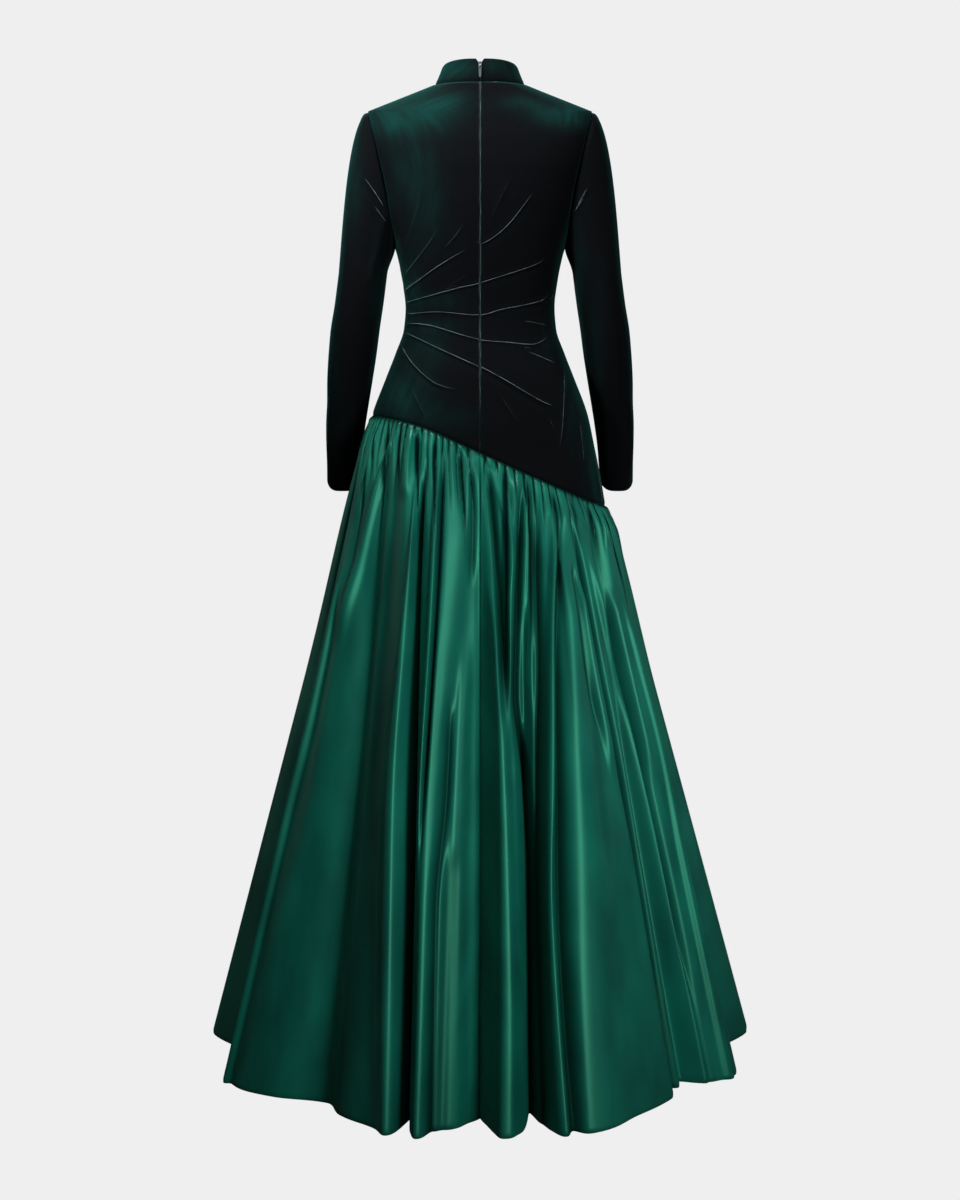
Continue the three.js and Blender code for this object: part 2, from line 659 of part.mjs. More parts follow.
function sliderSolid() {
  const face = -pullPivot.standOff + seamGap;
  const { width, low, high, thick, eyeInner, eyeOuter, eyeWidth, backWidth, backThick } = slider;
  const outline = (halfWidth) => rounded(halfWidth, low, high, slider.cornerRadius);
  const top = plate(outline(width / 2), thick).translate(0, face + thick / 2, 0);
  const ring = new THREE.Shape().absarc(0, 0, eyeOuter, 0, 2 * Math.PI);
  ring.holes.push(new THREE.Path().absarc(0, 0, eyeInner, 0, 2 * Math.PI, true));
  const eye = new THREE.ExtrudeGeometry(ring, { depth: eyeWidth, bevelEnabled: false, curveSegments: 8 });
  eye.translate(0, 0, -eyeWidth / 2).rotateY(Math.PI / 2);
  const under = face - slider.grip;
  const neckHalf = slider.neckWidth / 2;
  const sunk = thick / 4;
  const neck = block([-neckHalf, under, slider.neckLow], [neckHalf, face + sunk, high - sunk]);
  const back = plate(outline(backWidth / 2), backThick).translate(0, under, 0);
  return toGeometry(toSolid(top).add(toSolid(eye)).add(toSolid(neck)).add(toSolid(back)));
}

function pullSolid() {
  const { length, width, tipWidth, tipCut, barHalf, slotLength, slotWidth, shoulder } = pull;
  const half = [
    new THREE.Vector2(width / 2, barHalf),
    new THREE.Vector2(width / 2, -slotLength - shoulder),
    new THREE.Vector2(tipWidth / 2, -length + tipCut.up),
    new THREE.Vector2(tipWidth / 2 - tipCut.across, -length),
  ];
  const tab = [...half.map(({ x, y }) => new THREE.Vector2(-x, y)), ...half.toReversed()];
  const slot = rounded(slotWidth / 2, -slotLength - barHalf, -barHalf, pull.slotCorner);
  return plate(tab, pull.thick, slot);
}

const collarLean = Math.atan2(
  collarOuter[0].points[0].y - collarOuter.at(-1).points[0].y,
  collarHeight,
);
const pivotFoot = collarOuter[0].points[0].clone().setX(0);
pivotFoot.y -= Math.sin(collarLean) * pullPivot.rise;
pivotFoot.z += Math.cos(collarLean) * pullPivot.rise;
const pivot = pivotFoot.clone();
pivot.y += Math.cos(collarLean) * pullPivot.standOff;
pivot.z += Math.sin(collarLean) * pullPivot.standOff;
for (const [name, geometry] of [
  ["zip_slider", sliderSolid()],
  ["zip_pull", pullSolid()],
]) {
  const mesh = addMesh(name, geometry, metal);
  mesh.position.copy(pivot);
  mesh.rotation.x = collarLean;
}

// The skirt hangs from the bodice's lower edge. "share" goes round from the centre back, 0, by the wearer's
// left, 0.5, the centre front, 1, and the right, 1.5. "fall" goes from the seam, 0, to the hem, 1.
const placeOnPanel = (share) => {
  if (share <= 0.5) return 2 * share;
  return share < 1.5 ? 2 - 2 * share : 2 * share - 4;
};

function skirtPoint(share, fall, top, gather) {
  const turn = THREE.MathUtils.degToRad(along(folds, "seam", share, "angle"));
  const outward = new THREE.Vector3(Math.sin(turn), Math.cos(turn), 0);
  const hem = outward.clone().multiplyScalar(foldMeanRadius).setZ(hemLevel);
  const toRight = (1 - Math.cos(Math.PI * (share - 0.5))) / 2;
  const puff = mix(seamPuff.left, seamPuff.right, toRight);
  const swell = smooth(fall / seamPuff.fullAt) * (1 - smooth((fall - seamPuff.fullAt) / seamPuff.fadesOver));
  const fold = (along(folds, "seam", share, "radius") - foldMeanRadius) * fall ** foldGrowth;
  const ripple = gather * smooth(fall / gatheredRows[0]) * (1 - ease(fall, gatherFade));
  return top.clone().lerp(hem, fall).addScaledVector(outward, fold + puff * swell + ripple);
}

// Columns of a skirt panel: two to a gather where it is gathered, and one to a gather below.
function skirtColumns(from, to) {
  const fine = [{ share: from, gather: 0 }];
  const rows = folds.filter(({ seam }) => seam >= from && seam <= to);
  rows.slice(1).forEach(({ seam }, n) => {
    const start = rows[n].seam;
    const parts = 2 * Math.max(1, Math.round((seam - start) * gathersPerShare));
    for (let i = 1; i <= parts; i++) {
      const share = mix(start, seam, i / parts);
      const height = gatherHeight * (1 + gatherUnevenness.share * Math.sin(gatherUnevenness.waves * share));
      fine.push({ share, gather: i % 2 === 1 ? height : -0.5 * height });
    }
  });
  fine.at(-1).gather = 0;
  return { fine: fine.toReversed(), coarse: fine.filter((_, i) => i % 2 === 0).toReversed() };
}

function skirtRow(panel, columns, fall, sink) {
  const seamPoint = (rows, share) => {
    const point = onRow(rows[0], panel.across, placeOnPanel(share));
    return point.setZ(point.z - seamGap);
  };
  const at = columns.map(({ share }) => -share);
  if (fall === 0) {
    const rim = sink === 0 ? panel.outer : panel.inner;
    return { up: 1, at, points: columns.map(({ share }) => seamPoint(rim, share)) };
  }
  const tops = columns.map(({ share }) => seamPoint(panel.outer, share));
  const plain = columns.map(({ share }, c) => skirtPoint(share, fall, tops[c], 0));
  const higher = columns.map(({ share }, c) => skirtPoint(share, fall - 0.01, tops[c], 0));
  const points = columns.map(({ share, gather }, c) => {
    const turn = THREE.MathUtils.degToRad(along(folds, "seam", share, "angle"));
    const leftwards = new THREE.Vector3(Math.cos(turn), -Math.sin(turn), 0);
    const edge = c === 0 ? -1 : Number(c === columns.length - 1);
    const across = leftwards.clone().negate();
    if (edge === 0) across.subVectors(plain[c + 1], plain[c - 1]);
    const upward = new THREE.Vector3().subVectors(higher[c], plain[c]);
    const normal = across.cross(upward);
    if (fall === 1) normal.setZ(0);
    const opening = (edge * seamGap * Math.min(1, fall / seamPuff.fullAt)) / 2;
    return skirtPoint(share, fall, tops[c], gather)
      .addScaledVector(normal.normalize(), -sink)
      .addScaledVector(leftwards, opening);
  });
  return { up: 1 - fall, at, points };
}

function skirtPanel(name, panel, from, to) {
  const { fine, coarse } = skirtColumns(from, to);
  const falls = [0, ...gatheredRows, ...plainSkirtRows].toReversed();
  const row = (sink) => (fall) =>
    skirtRow(panel, fall > gatheredRows.at(-1) ? coarse : fine, fall, sink);
  const inside = falls.filter((fall) => !skirtInsideSkips.includes(fall));
  addMesh(name, wall(falls.map(row(0)), inside.map(row(satinThick)), false), satin);
}
skirtPanel("skirt_back_left", backLeft, 0, 0.5);
skirtPanel("skirt_front", front, 0.5, 1.5);
skirtPanel("skirt_back_right", backRight, 1.5, 2);

export default gown;
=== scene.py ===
import math

import bmesh
import bpy
import numpy as np
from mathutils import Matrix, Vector


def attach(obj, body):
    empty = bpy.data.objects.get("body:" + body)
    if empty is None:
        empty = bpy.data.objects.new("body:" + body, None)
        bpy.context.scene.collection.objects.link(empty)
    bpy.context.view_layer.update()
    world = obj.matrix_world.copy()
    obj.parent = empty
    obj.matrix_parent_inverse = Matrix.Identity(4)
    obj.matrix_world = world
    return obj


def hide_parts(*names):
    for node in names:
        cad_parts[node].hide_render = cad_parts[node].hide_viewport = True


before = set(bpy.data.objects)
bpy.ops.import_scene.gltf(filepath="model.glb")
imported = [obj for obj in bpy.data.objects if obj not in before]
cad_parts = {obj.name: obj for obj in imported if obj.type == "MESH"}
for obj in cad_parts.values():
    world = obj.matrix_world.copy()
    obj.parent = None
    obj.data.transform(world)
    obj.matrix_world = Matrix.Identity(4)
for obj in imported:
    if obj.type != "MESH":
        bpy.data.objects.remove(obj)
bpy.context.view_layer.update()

# Lengths below are millimetres: +Z up, +X the wearer's left, and +Y the back, which the camera faces.
mm = 0.001


# Colour, nodes and meshes

def colour(text):
    # "#rrggbb" as it is seen on a screen, turned linear
    parts = [int(text[n:n + 2], 16) / 255 for n in (1, 3, 5)]
    return tuple(p / 12.92 if p <= 0.04045 else ((p + 0.055) / 1.055) ** 2.4 for p in parts) + (1.0,)


def addNode(tree, kind, settings=None, inputs=None):
    # Settings are the node's own, inputs are values or other nodes' outputs, by socket name or number
    node = tree.nodes.new(kind)
    for name, value in (settings or {}).items():
        setattr(node, name, value)
    for name, value in (inputs or {}).items():
        if isinstance(value, bpy.types.NodeSocket):
            tree.links.new(value, node.inputs[name])
        else:
            node.inputs[name].default_value = value
    return node


def newMaterial(name):
    material = bpy.data.materials.new(name)
    material.use_nodes = True
    tree = material.node_tree
    tree.nodes.clear()
    return material, tree


def finishMaterial(tree, shader):
    output = addNode(tree, "ShaderNodeOutputMaterial")
    tree.links.new(shader, output.inputs["Surface"])


def addPiece(name, points, faces, material, uv, marks):
    # Points in millimetres. uv is a pair of millimetre values for each point, marks a value for each by name.
    mesh = bpy.data.meshes.new(name)
    mesh.from_pydata((np.asarray(points, float) * mm).tolist(), [], faces)
    corners = np.empty(len(mesh.loops), dtype=np.int32)
    mesh.loops.foreach_get("vertex_index", corners)
    layer = mesh.uv_layers.new(name="cut")
    layer.data.foreach_set("uv", np.asarray(uv, np.float32)[corners].ravel())
    for key, values in marks.items():
        field = mesh.attributes.new(key, "FLOAT", "POINT")
        field.data.foreach_set("value", np.asarray(values, np.float32).ravel())
    mesh.polygons.foreach_set("use_smooth", [True] * len(mesh.polygons))
    mesh.materials.append(material)
    mesh.update()
    piece = bpy.data.objects.new(name, mesh)
    bpy.context.scene.collection.objects.link(piece)
    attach(piece, "gown")
    return piece


def gridFaces(rows, columns):
    # Rows run up, and columns run to the right as seen from outside
    start = (np.arange(rows - 1)[:, None] * columns + np.arange(columns - 1)[None, :]).ravel()
    return np.stack([start, start + 1, start + columns + 1, start + columns], axis=1).tolist()


def addCloth(name, points, uv, marks, material, thick):
    # One layer of cloth from a grid of points, its thickness going inwards
    rows, columns = points.shape[:2]
    piece = addPiece(
        name, points.reshape(-1, 3), gridFaces(rows, columns), material, uv.reshape(-1, 2),
        {key: values.reshape(-1) for key, values in marks.items()},
    )
    wall = piece.modifiers.new("wall", "SOLIDIFY")
    wall.thickness = thick * mm
    wall.offset = -1
    wall.use_rim = True
    return piece


def standFor(node):
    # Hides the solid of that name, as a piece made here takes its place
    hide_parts(node)


# Numbers along tables

def table(columns, rows):
    return dict(zip(columns.split(), np.array(rows, float).T))


def along(rows, key, x, column):
    # A smooth curve through the rows that never overshoots them
    at, value = rows[key], rows[column]
    rise = np.diff(value) / np.diff(at)
    product, total = rise[:-1] * rise[1:], rise[:-1] + rise[1:]
    inner = np.where(product > 0, 2 * product / np.where(product > 0, total, 1), 0)
    slope = np.concatenate([rise[:1], inner, rise[-1:]])
    x = np.clip(x, at[0], at[-1])
    i = np.clip(np.searchsorted(at, x) - 1, 0, len(at) - 2)
    step = at[i + 1] - at[i]
    t = (x - at[i]) / step
    low = (1 + 2 * t) * (1 - t) ** 2 * value[i] + t * (1 - t) ** 2 * step * slope[i]
    return low + t * t * (3 - 2 * t) * value[i + 1] - t * t * (1 - t) * step * slope[i + 1]


def mix(a, b, share):
    return a + (b - a) * share


def smooth(x):
    x = np.clip(x, 0, 1)
    return x * x * (3 - 2 * x)


def bump(distance, width):
    return np.exp(-((distance / width) ** 2))


def gridNormals(points):
    across = np.gradient(points, axis=1)
    upward = np.gradient(points, axis=0)
    normal = np.cross(across, upward)
    return normal / np.maximum(np.linalg.norm(normal, axis=2, keepdims=True), 1e-9)


def walkedTo(points, axis):
    # How far each point lies from the grid's first row, axis 0, or first column, axis 1, along the cloth
    steps = np.linalg.norm(np.diff(points, axis=axis), axis=2)
    walked = np.cumsum(steps, axis=axis)
    return np.concatenate([np.zeros_like(walked[:1] if axis == 0 else walked[:, :1]), walked], axis=axis)


def smoothNoise(rng, places, spacing):
    # Values from -1 to 1 that wander along an axis
    start = math.floor(places.min() / spacing) - 1
    count = math.ceil(places.max() / spacing) - start + 3
    knots = rng.uniform(-1, 1, count)
    at = places / spacing - start
    low = np.floor(at).astype(int)
    return mix(knots[low], knots[low + 1], smooth(at - low))


# The body's shape

form = {
    "sideNeck": (72.5, -1.0),
    "shoulderTip": (180.0, -43.0),
    "underarmLevel": -253.0,
    "hemLevel": -1567.0,
    "seamAtCentre": -583.0,      # the dropped waist seam, high at the wearer's left
    "seamSlope": 0.45,
    "seamFlattensFrom": 60.0,
    "seamFlattening": 0.0018,
    "zipFoot": -493.0,
    "armholeBehind": 56.0,
    "armholeBefore": 48.0,
}

torso = table("level side back front", [
    (-720, 213, 158, 142), (-678, 206, 146, 132), (-622, 196, 134, 120), (-583, 188, 125, 112),
    (-528, 176, 117, 106), (-466, 152.5, 106, 101), (-427, 137, 92, 96), (-388, 123.6, 78, 90),
    (-354, 121, 73, 88), (-311, 125.7, 82, 98), (-272, 133.6, 93, 115), (-253, 139.2, 98, 121),
    (-222, 143.5, 104, 124), (-180, 149, 108, 118), (-140, 157, 107, 107), (-100, 166, 101, 92),
    (-60, 176, 89, 72), (-42, 180, 83, 62), (2, 180, 66, 62),
])

# Rows of the bodice fan out from the left of the waist, from the seam, 0, to the neckline, 1
fan = table("up left right back front", [
    (0, 0, 0, -583, -583), (0.1, 0.28, 0.13, -536, -538), (0.2, 0.44, 0.27, -490, -494),
    (0.3, 0.53, 0.43, -441, -448), (0.4, 0.585, 0.66, -397, -404), (0.48, 0.635, 0.83, -359, -366),
    (0.56, 0.7, 0.99, -308, -318), (0.66, 0.79, 1.27, -246, -262), (0.74, 0.94, 1.52, -188, -212),
    (0.8, 1.15, 1.7, -142, -172), (0.86, 1.5, 1.84, -102, -132), (0.9, 1.76, 2.0, -76, -106),
    (0.93, 2.0, 2.22, -55, -84), (1, 3, 3, -3.5, -30),
])


def seamLevel(x):
    bend = np.maximum(0, x - form["seamFlattensFrom"]) ** 2
    return form["seamAtCentre"] + form["seamSlope"] * x - form["seamFlattening"] * bend


def seamSide(side):
    level = form["seamAtCentre"]
    for _ in range(20):
        level = float(seamLevel(side * along(torso, "level", level, "side")))
    return float(along(torso, "level", level, "side")), level


seamSides = {"left": seamSide(1), "right": seamSide(-1)}


def edgePoint(place, endLevel, behind):
    # A panel's outer edge: side seam from 0, armhole from 1 and shoulder seam from 2 to 3
    tipX, tipLevel = form["shoulderTip"]
    neckX, neckLevel = form["sideNeck"]
    turn = np.clip(place - 1, 0, 1) * math.pi
    armhole = mix(form["underarmLevel"], tipLevel, (1 - np.cos(turn)) / 2)
    level = np.where(place <= 1, mix(endLevel, form["underarmLevel"], place), armhole)
    bulge = form["armholeBehind" if behind else "armholeBefore"]
    y = np.where((place > 1) & (place <= 2), bulge * np.maximum(np.sin(turn), 0) ** 0.9, 0)
    x = along(torso, "level", level, "side")
    onShoulder = place > 2
    x = np.where(onShoulder, mix(tipX, neckX, place - 2), x)
    return x, y, np.where(onShoulder, mix(tipLevel, neckLevel, place - 2), level)


def bodicePoints(up, across, behind):
    # across runs from 1 at the wearer's left edge by 0 at the centre line to -1 at the right
    up, across = np.broadcast_arrays(up, across)
    face = "back" if behind else "front"
    isLeft = across >= 0
    place = np.where(isLeft, along(fan, "up", up, "left"), along(fan, "up", up, "right"))
    endX = np.where(isLeft, seamSides["left"][0], seamSides["right"][0])
    endLevel = np.where(isLeft, seamSides["left"][1], seamSides["right"][1])
    edgeX, edgeY, edgeLevel = edgePoint(place, endLevel, behind)
    power = mix(2.35, 2.0, smooth((up - 0.75) / 0.2))
    depth = along(torso, "level", edgeLevel, face)
    turnAtEdge = np.arccos(np.minimum(1, edgeY / depth) ** (power / 2))
    full = edgeX / np.sin(turnAtEdge) ** (2 / power)
    turn = turnAtEdge * np.abs(across)
    x = full * np.sin(turn) ** (2 / power)
    share = x / edgeX
    bow = 1 if behind else mix(1, 2.2, smooth((up - 0.7) / 0.3))
    slant = seamLevel(np.sign(across) * share * endX) - mix(form["seamAtCentre"], endLevel, share)
    level = mix(along(fan, "up", up, face), edgeLevel, share ** bow) + slant * (1 - smooth(up / 0.25))
    y = along(torso, "level", level, face) * np.maximum(np.cos(turn), 0) ** (2 / power)
    return np.stack([np.sign(across) * x, y if behind else -y, level], axis=-1)


# Creases

def smoothLine(line, parts=6):
    # A rounded path through the given points
    p = np.array(line, float)
    padded = np.vstack([2 * p[0] - p[1], p, 2 * p[-1] - p[-2]])
    made = []
    for n in range(len(p) - 1):
        a, b, c, d = padded[n:n + 4]
        for t in np.arange(parts) / parts:
            made.append(0.5 * (2 * b + (c - a) * t + (2 * a - 5 * b + 4 * c - d) * t ** 2
                               + (3 * b - a - 3 * c + d) * t ** 3))
    return np.vstack([made, p[-1]])


def besideLine(x, level, line):
    # For each place, the signed distance from the line, positive above it, and how far along it lies
    path = smoothLine(line)
    best = np.full(x.shape, 1e9)
    signed = np.zeros(x.shape)
    share = np.zeros(x.shape)
    lengths = np.linalg.norm(np.diff(path, axis=0), axis=1)
    total, walked = lengths.sum(), 0.0
    near = (x > path[:, 0].min() - 40) & (x < path[:, 0].max() + 40)
    near &= (level > path[:, 1].min() - 40) & (level < path[:, 1].max() + 40)
    px, pz = x[near], level[near]
    bestN, signedN, shareN = best[near], signed[near], share[near]
    for a, b, length in zip(path[:-1], path[1:], lengths):
        direction = (b - a) / length
        t = np.clip((px - a[0]) * direction[0] + (pz - a[1]) * direction[1], 0, length)
        offX, offZ = px - a[0] - t * direction[0], pz - a[1] - t * direction[1]
        distance = np.hypot(offX, offZ)
        closer = distance < bestN
        bestN = np.where(closer, distance, bestN)
        side = np.sign(direction[0] * offZ - direction[1] * offX) * np.sign(direction[0] or 1)
        signedN = np.where(closer, side * distance, signedN)
        shareN = np.where(closer, (walked + t) / total, shareN)
        walked += length
    best[near], signed[near], share[near] = bestN, signedN, shareN
    signed[~near] = 1e6
    return signed, share


def creaseField(x, level, creases):
    # Each crease is a low ridge with a soft hollow under it. Gives the lift, and for the painted highlight on
    # the crest the signed distance from the nearest crease's crest and how strong it is there.
    lift = np.zeros(x.shape)
    nearest = np.full(x.shape, 20.0)
    strength = np.zeros(x.shape)
    for height, width, startTaper, endTaper, line in creases:
        off, share = besideLine(x, level, line)
        ends = smooth(share / startTaper) * smooth((1 - share) / endTaper)
        lift += height * ends * bump(off, width)
        lift -= 0.7 * height * ends * bump(off + 2.4 * width, 2.0 * width)
        lift -= 0.3 * height * ends * bump(off - 3.4 * width, 2.8 * width)
        closer = np.abs(off) < np.abs(nearest)
        nearest = np.where(closer, off, nearest)
        strength = np.where(closer, ends * min(1, (height / width) / 0.6) ** 2, strength)
    return lift, {"crest": nearest, "crestStrength": np.where(np.abs(nearest) < 4, strength, 0)}


def paintedGlowField(x, level, patches):
    # A painted green glow on the velvet, where light would catch the pile: strength, place and reach across
    # and upwards
    paintedGlow = np.zeros(x.shape)
    for strength, atX, atLevel, reachX, reachLevel in patches:
        paintedGlow += strength * bump(x - atX, reachX) * bump(level - atLevel, reachLevel)
    return np.minimum(paintedGlow, 1)


# Materials

velvetLook = {
    "ground": "#060709",
    # pile: the green the colour turns to at a slant, a painted sheen
    "pile": "#0b3531",
    # lean: the green of a painted glow, where light would catch the pile
    "lean": "#072724",
    # crest: a painted highlight along the crease crests and the zip's lips
    "crest": "#6f8285",
    "crestHalfWidth": 0.2,  # mm of painted highlight either side of a crease's crest
    "sheenTint": "#1d5f58",
    "sheen": 0.32,
    "sheenRoughness": 0.3,
    "roughness": 0.9,
    "specular": 0.03,        # the pile traps the light before it can gloss
    "ior": 1.46,
    "patchSize": 110,        # mm across an uneven patch of the sheen and the painted glow
    "streakSize": 13,        # mm across a finer streak of it
    "fibreSize": 1.1,        # drawn coarser than the real 0.1 mm pile, which no picture could hold
    "fibreHeight": 0.1,
}

satinLook = {
    "face": "#0b584a",
    "shade": "#07443b",
    "hollow": "#01120f",    # painted shade, deep between two folds, in the gather slits and along the seam
    "gloss": "#5fd0a6",
    "roughness": 0.43,
    "slantedRoughness": 0.75,
    "across": 0.4,          # stretch of the gloss across the floating yarns
    "ior": 1.57,
    "specular": 0.58,
    "sheen": 0.08,
    "sheenTint": "#2fa37e",
    "yarn": 1.4,            # drawn coarser than the real 0.1 mm yarn
    "yarnHeight": 0.03,
    "cloud": 60,            # mm across a paler or darker stretch of the dye
}

tapeLook = {"dye": "#0b2723", "roughness": 0.8, "ior": 1.55, "rib": 0.9, "ribHeight": 0.1}
zincLook = {"metal": "#8f9495", "roughness": 0.3, "wear": "#767b7d"}


def millimetreMap(tree, across, lengthwise):
    # Cut coordinates, in millimetres, scaled so that one unit is one repeat
    coordinate = addNode(tree, "ShaderNodeUVMap", {"uv_map": "cut"})
    return addNode(tree, "ShaderNodeMapping", inputs={
        "Vector": coordinate.outputs["UV"], "Scale": (1 / across, 1 / lengthwise, 1),
    }).outputs["Vector"]


def blendColour(tree, share, low, high):
    return addNode(tree, "ShaderNodeMix", {"data_type": "RGBA", "clamp_factor": True}, {
        0: share, 6: low, 7: high,
    }).outputs[2]


def stretched(tree, value, low, high, toLow=0.0, toHigh=1.0):
    return addNode(tree, "ShaderNodeMapRange", {"clamp": True}, {
        "Value": value, "From Min": low, "From Max": high, "To Min": toLow, "To Max": toHigh,
    }).outputs["Result"]


def noise(tree, across, lengthwise, detail=2.0):
    return addNode(tree, "ShaderNodeTexNoise", inputs={
        "Vector": millimetreMap(tree, across, lengthwise), "Scale": 1.0, "Detail": detail, "Roughness": 0.55,
    }).outputs["Fac"]


def times(tree, a, b):
    return addNode(tree, "ShaderNodeMath", {"operation": "MULTIPLY"}, {0: a, 1: b}).outputs[0]


def mark(tree, name):
    # A value that the cloth's points carry
    return addNode(tree, "ShaderNodeAttribute", {"attribute_name": name}).outputs["Fac"]


def bumped(tree, strength, depth, height):
    return addNode(tree, "ShaderNodeBump", inputs={
        "Strength": strength, "Distance": depth * mm, "Height": height,
    }).outputs["Normal"]


def crestLine(tree, halfWidth):
    # 1 on a crease's crest, where a highlight is painted, and 0 beside it
    distance = addNode(tree, "ShaderNodeMath", {"operation": "ABSOLUTE"}, {0: mark(tree, "crest")}).outputs[0]
    line = stretched(tree, distance, 0.3 * halfWidth, 1.6 * halfWidth, 1.0, 0.0)
    return times(tree, line, mark(tree, "crestStrength"))


def pileVelvet():
    # Silk-mix cut-pile velvet: the upright pile swallows the light seen straight on. Painted into its colour
    # are a green sheen at a slant, a green glow where light would catch the pile and a pale highlight on
    # crease crests
    material, tree = newMaterial("pile velvet")
    patches = noise(tree, velvetLook["patchSize"], velvetLook["patchSize"] * 1.7, 3.0)
    streaks = noise(tree, velvetLook["streakSize"], velvetLook["streakSize"] * 5, 3.0)
    fibres = noise(tree, velvetLook["fibreSize"], velvetLook["fibreSize"] * 2.2)
    slanted = addNode(tree, "ShaderNodeLayerWeight", inputs={"Blend": 0.3}).outputs["Facing"]
    # A painted green glow where light would catch the pile, uneven in streaks and patches
    paintedGlowShare = times(tree, mark(tree, "paintedGlow"), stretched(tree, streaks, 0.3, 0.65, 0.5, 1.2))
    paintedGlowShare = times(tree, paintedGlowShare, stretched(tree, patches, 0.3, 0.6, 0.55, 1.1))
    groundAndPaintedGlow = blendColour(tree, paintedGlowShare, colour(velvetLook["ground"]), colour(velvetLook["lean"]))
    # The colour turns green at a slant: a painted sheen
    pile = blendColour(tree, stretched(tree, slanted, 0.3, 1.0), groundAndPaintedGlow, colour(velvetLook["pile"]))
    # A painted highlight along the crests, its strength uneven along them
    highlightUnevenness = noise(tree, velvetLook["streakSize"] * 1.6, velvetLook["streakSize"] * 1.6)
    crest = crestLine(tree, velvetLook["crestHalfWidth"])
    paintedCrestHighlight = times(tree, crest, stretched(tree, highlightUnevenness, 0.3, 0.6, 0.3, 1.1))
    face = blendColour(tree, paintedCrestHighlight, pile, colour(velvetLook["crest"]))
    surface = addNode(tree, "ShaderNodeBsdfPrincipled", inputs={
        "Base Color": face,
        "Roughness": velvetLook["roughness"],
        "IOR": velvetLook["ior"],
        "Specular IOR Level": velvetLook["specular"],
        "Sheen Weight": stretched(tree, patches, 0.3, 0.7, 0.3 * velvetLook["sheen"], velvetLook["sheen"]),
        "Sheen Roughness": velvetLook["sheenRoughness"],
        "Sheen Tint": colour(velvetLook["sheenTint"]),
        "Normal": bumped(tree, 0.6, velvetLook["fibreHeight"], fibres),
    })
    finishMaterial(tree, surface.outputs["BSDF"])
    return material


def filamentSatin():
    # Polyester duchess satin: long floating filament yarns give a broad, soft, coloured gloss on the folds
    material, tree = newMaterial("filament satin")
    yarns = noise(tree, satinLook["yarn"], satinLook["yarn"] * 14)
    clouds = noise(tree, satinLook["cloud"], satinLook["cloud"] * 3)
    face = blendColour(tree, stretched(tree, clouds, 0.35, 0.65), colour(satinLook["shade"]),
                       colour(satinLook["face"]))
    hollow = mark(tree, "hollow")
    slanted = addNode(tree, "ShaderNodeLayerWeight", inputs={"Blend": 0.5}).outputs["Facing"]
    # Painted shade in the fold valleys, the gather slits and along the seam: darker colour and duller gloss
    face = blendColour(tree, hollow, face, colour(satinLook["hollow"]))
    rough = stretched(tree, slanted, 0.4, 1.0, satinLook["roughness"], satinLook["slantedRoughness"])
    glossy = times(tree, stretched(tree, hollow, 0.0, 1.0, satinLook["specular"], 0.02),
                   stretched(tree, slanted, 0.4, 1.0, 1.0, 0.15))
    surface = addNode(tree, "ShaderNodeBsdfPrincipled", inputs={
        "Base Color": face,
        "Roughness": rough,
        "Anisotropic": satinLook["across"],
        "IOR": satinLook["ior"],
        "Specular IOR Level": glossy,
        "Specular Tint": colour(satinLook["gloss"]),
        "Sheen Weight": satinLook["sheen"],
        "Sheen Roughness": 0.4,
        "Sheen Tint": colour(satinLook["sheenTint"]),
        "Normal": bumped(tree, 0.5, satinLook["yarnHeight"], yarns),
    })
    finishMaterial(tree, surface.outputs["BSDF"])
    return material


def zipTapeWeave():
    # Woven polyester zip tape: flat, ribbed and dull
    material, tree = newMaterial("zip tape")
    ribs = addNode(tree, "ShaderNodeTexWave", {"bands_direction": "Y"}, {
        "Vector": millimetreMap(tree, tapeLook["rib"], tapeLook["rib"]), "Scale": 0.5,
    }).outputs["Fac"]
    surface = addNode(tree, "ShaderNodeBsdfPrincipled", inputs={
        "Base Color": colour(tapeLook["dye"]), "Roughness": tapeLook["roughness"],
        "IOR": tapeLook["ior"], "Normal": bumped(tree, 0.5, tapeLook["ribHeight"], ribs),
    })
    finishMaterial(tree, surface.outputs["BSDF"])
    return material


def platedZinc():
    # Nickel-plated zinc die casting: bright, a little dulled by handling
    material, tree = newMaterial("plated zinc")
    coordinate = addNode(tree, "ShaderNodeTexCoord").outputs["Object"]
    wear = addNode(tree, "ShaderNodeTexNoise", inputs={
        "Vector": coordinate, "Scale": 900.0, "Detail": 3.0,
    }).outputs["Fac"]
    surface = addNode(tree, "ShaderNodeBsdfPrincipled", inputs={
        "Base Color": blendColour(tree, wear, colour(zincLook["metal"]), colour(zincLook["wear"])),
        "Metallic": 1.0,
        "Roughness": stretched(tree, wear, 0.3, 0.7, zincLook["roughness"], zincLook["roughness"] + 0.12),
    })
    finishMaterial(tree, surface.outputs["BSDF"])
    return material


velvetCloth = pileVelvet()
satinCloth = filamentSatin()
tapeCloth = zipTapeWeave()
zinc = platedZinc()
print("materials made")


# Bodice

bodiceCut = {
    "thick": 1.1,
    "backColumns": 112,
    "frontColumns": 150,
    "backRows": 260,
    "frontRows": 190,
    "width": 190.0,          # mm across a back panel, which sets how close its edge columns lie
    "seamHalfGap": 0.12,
    "seamRoll": 1.5,         # how far the cloth turns in along a seam, and over what width
    "seamRollWidth": 3.2,
    "zipLip": 1.1,           # from the centre line to the crest of the zip's lip
}

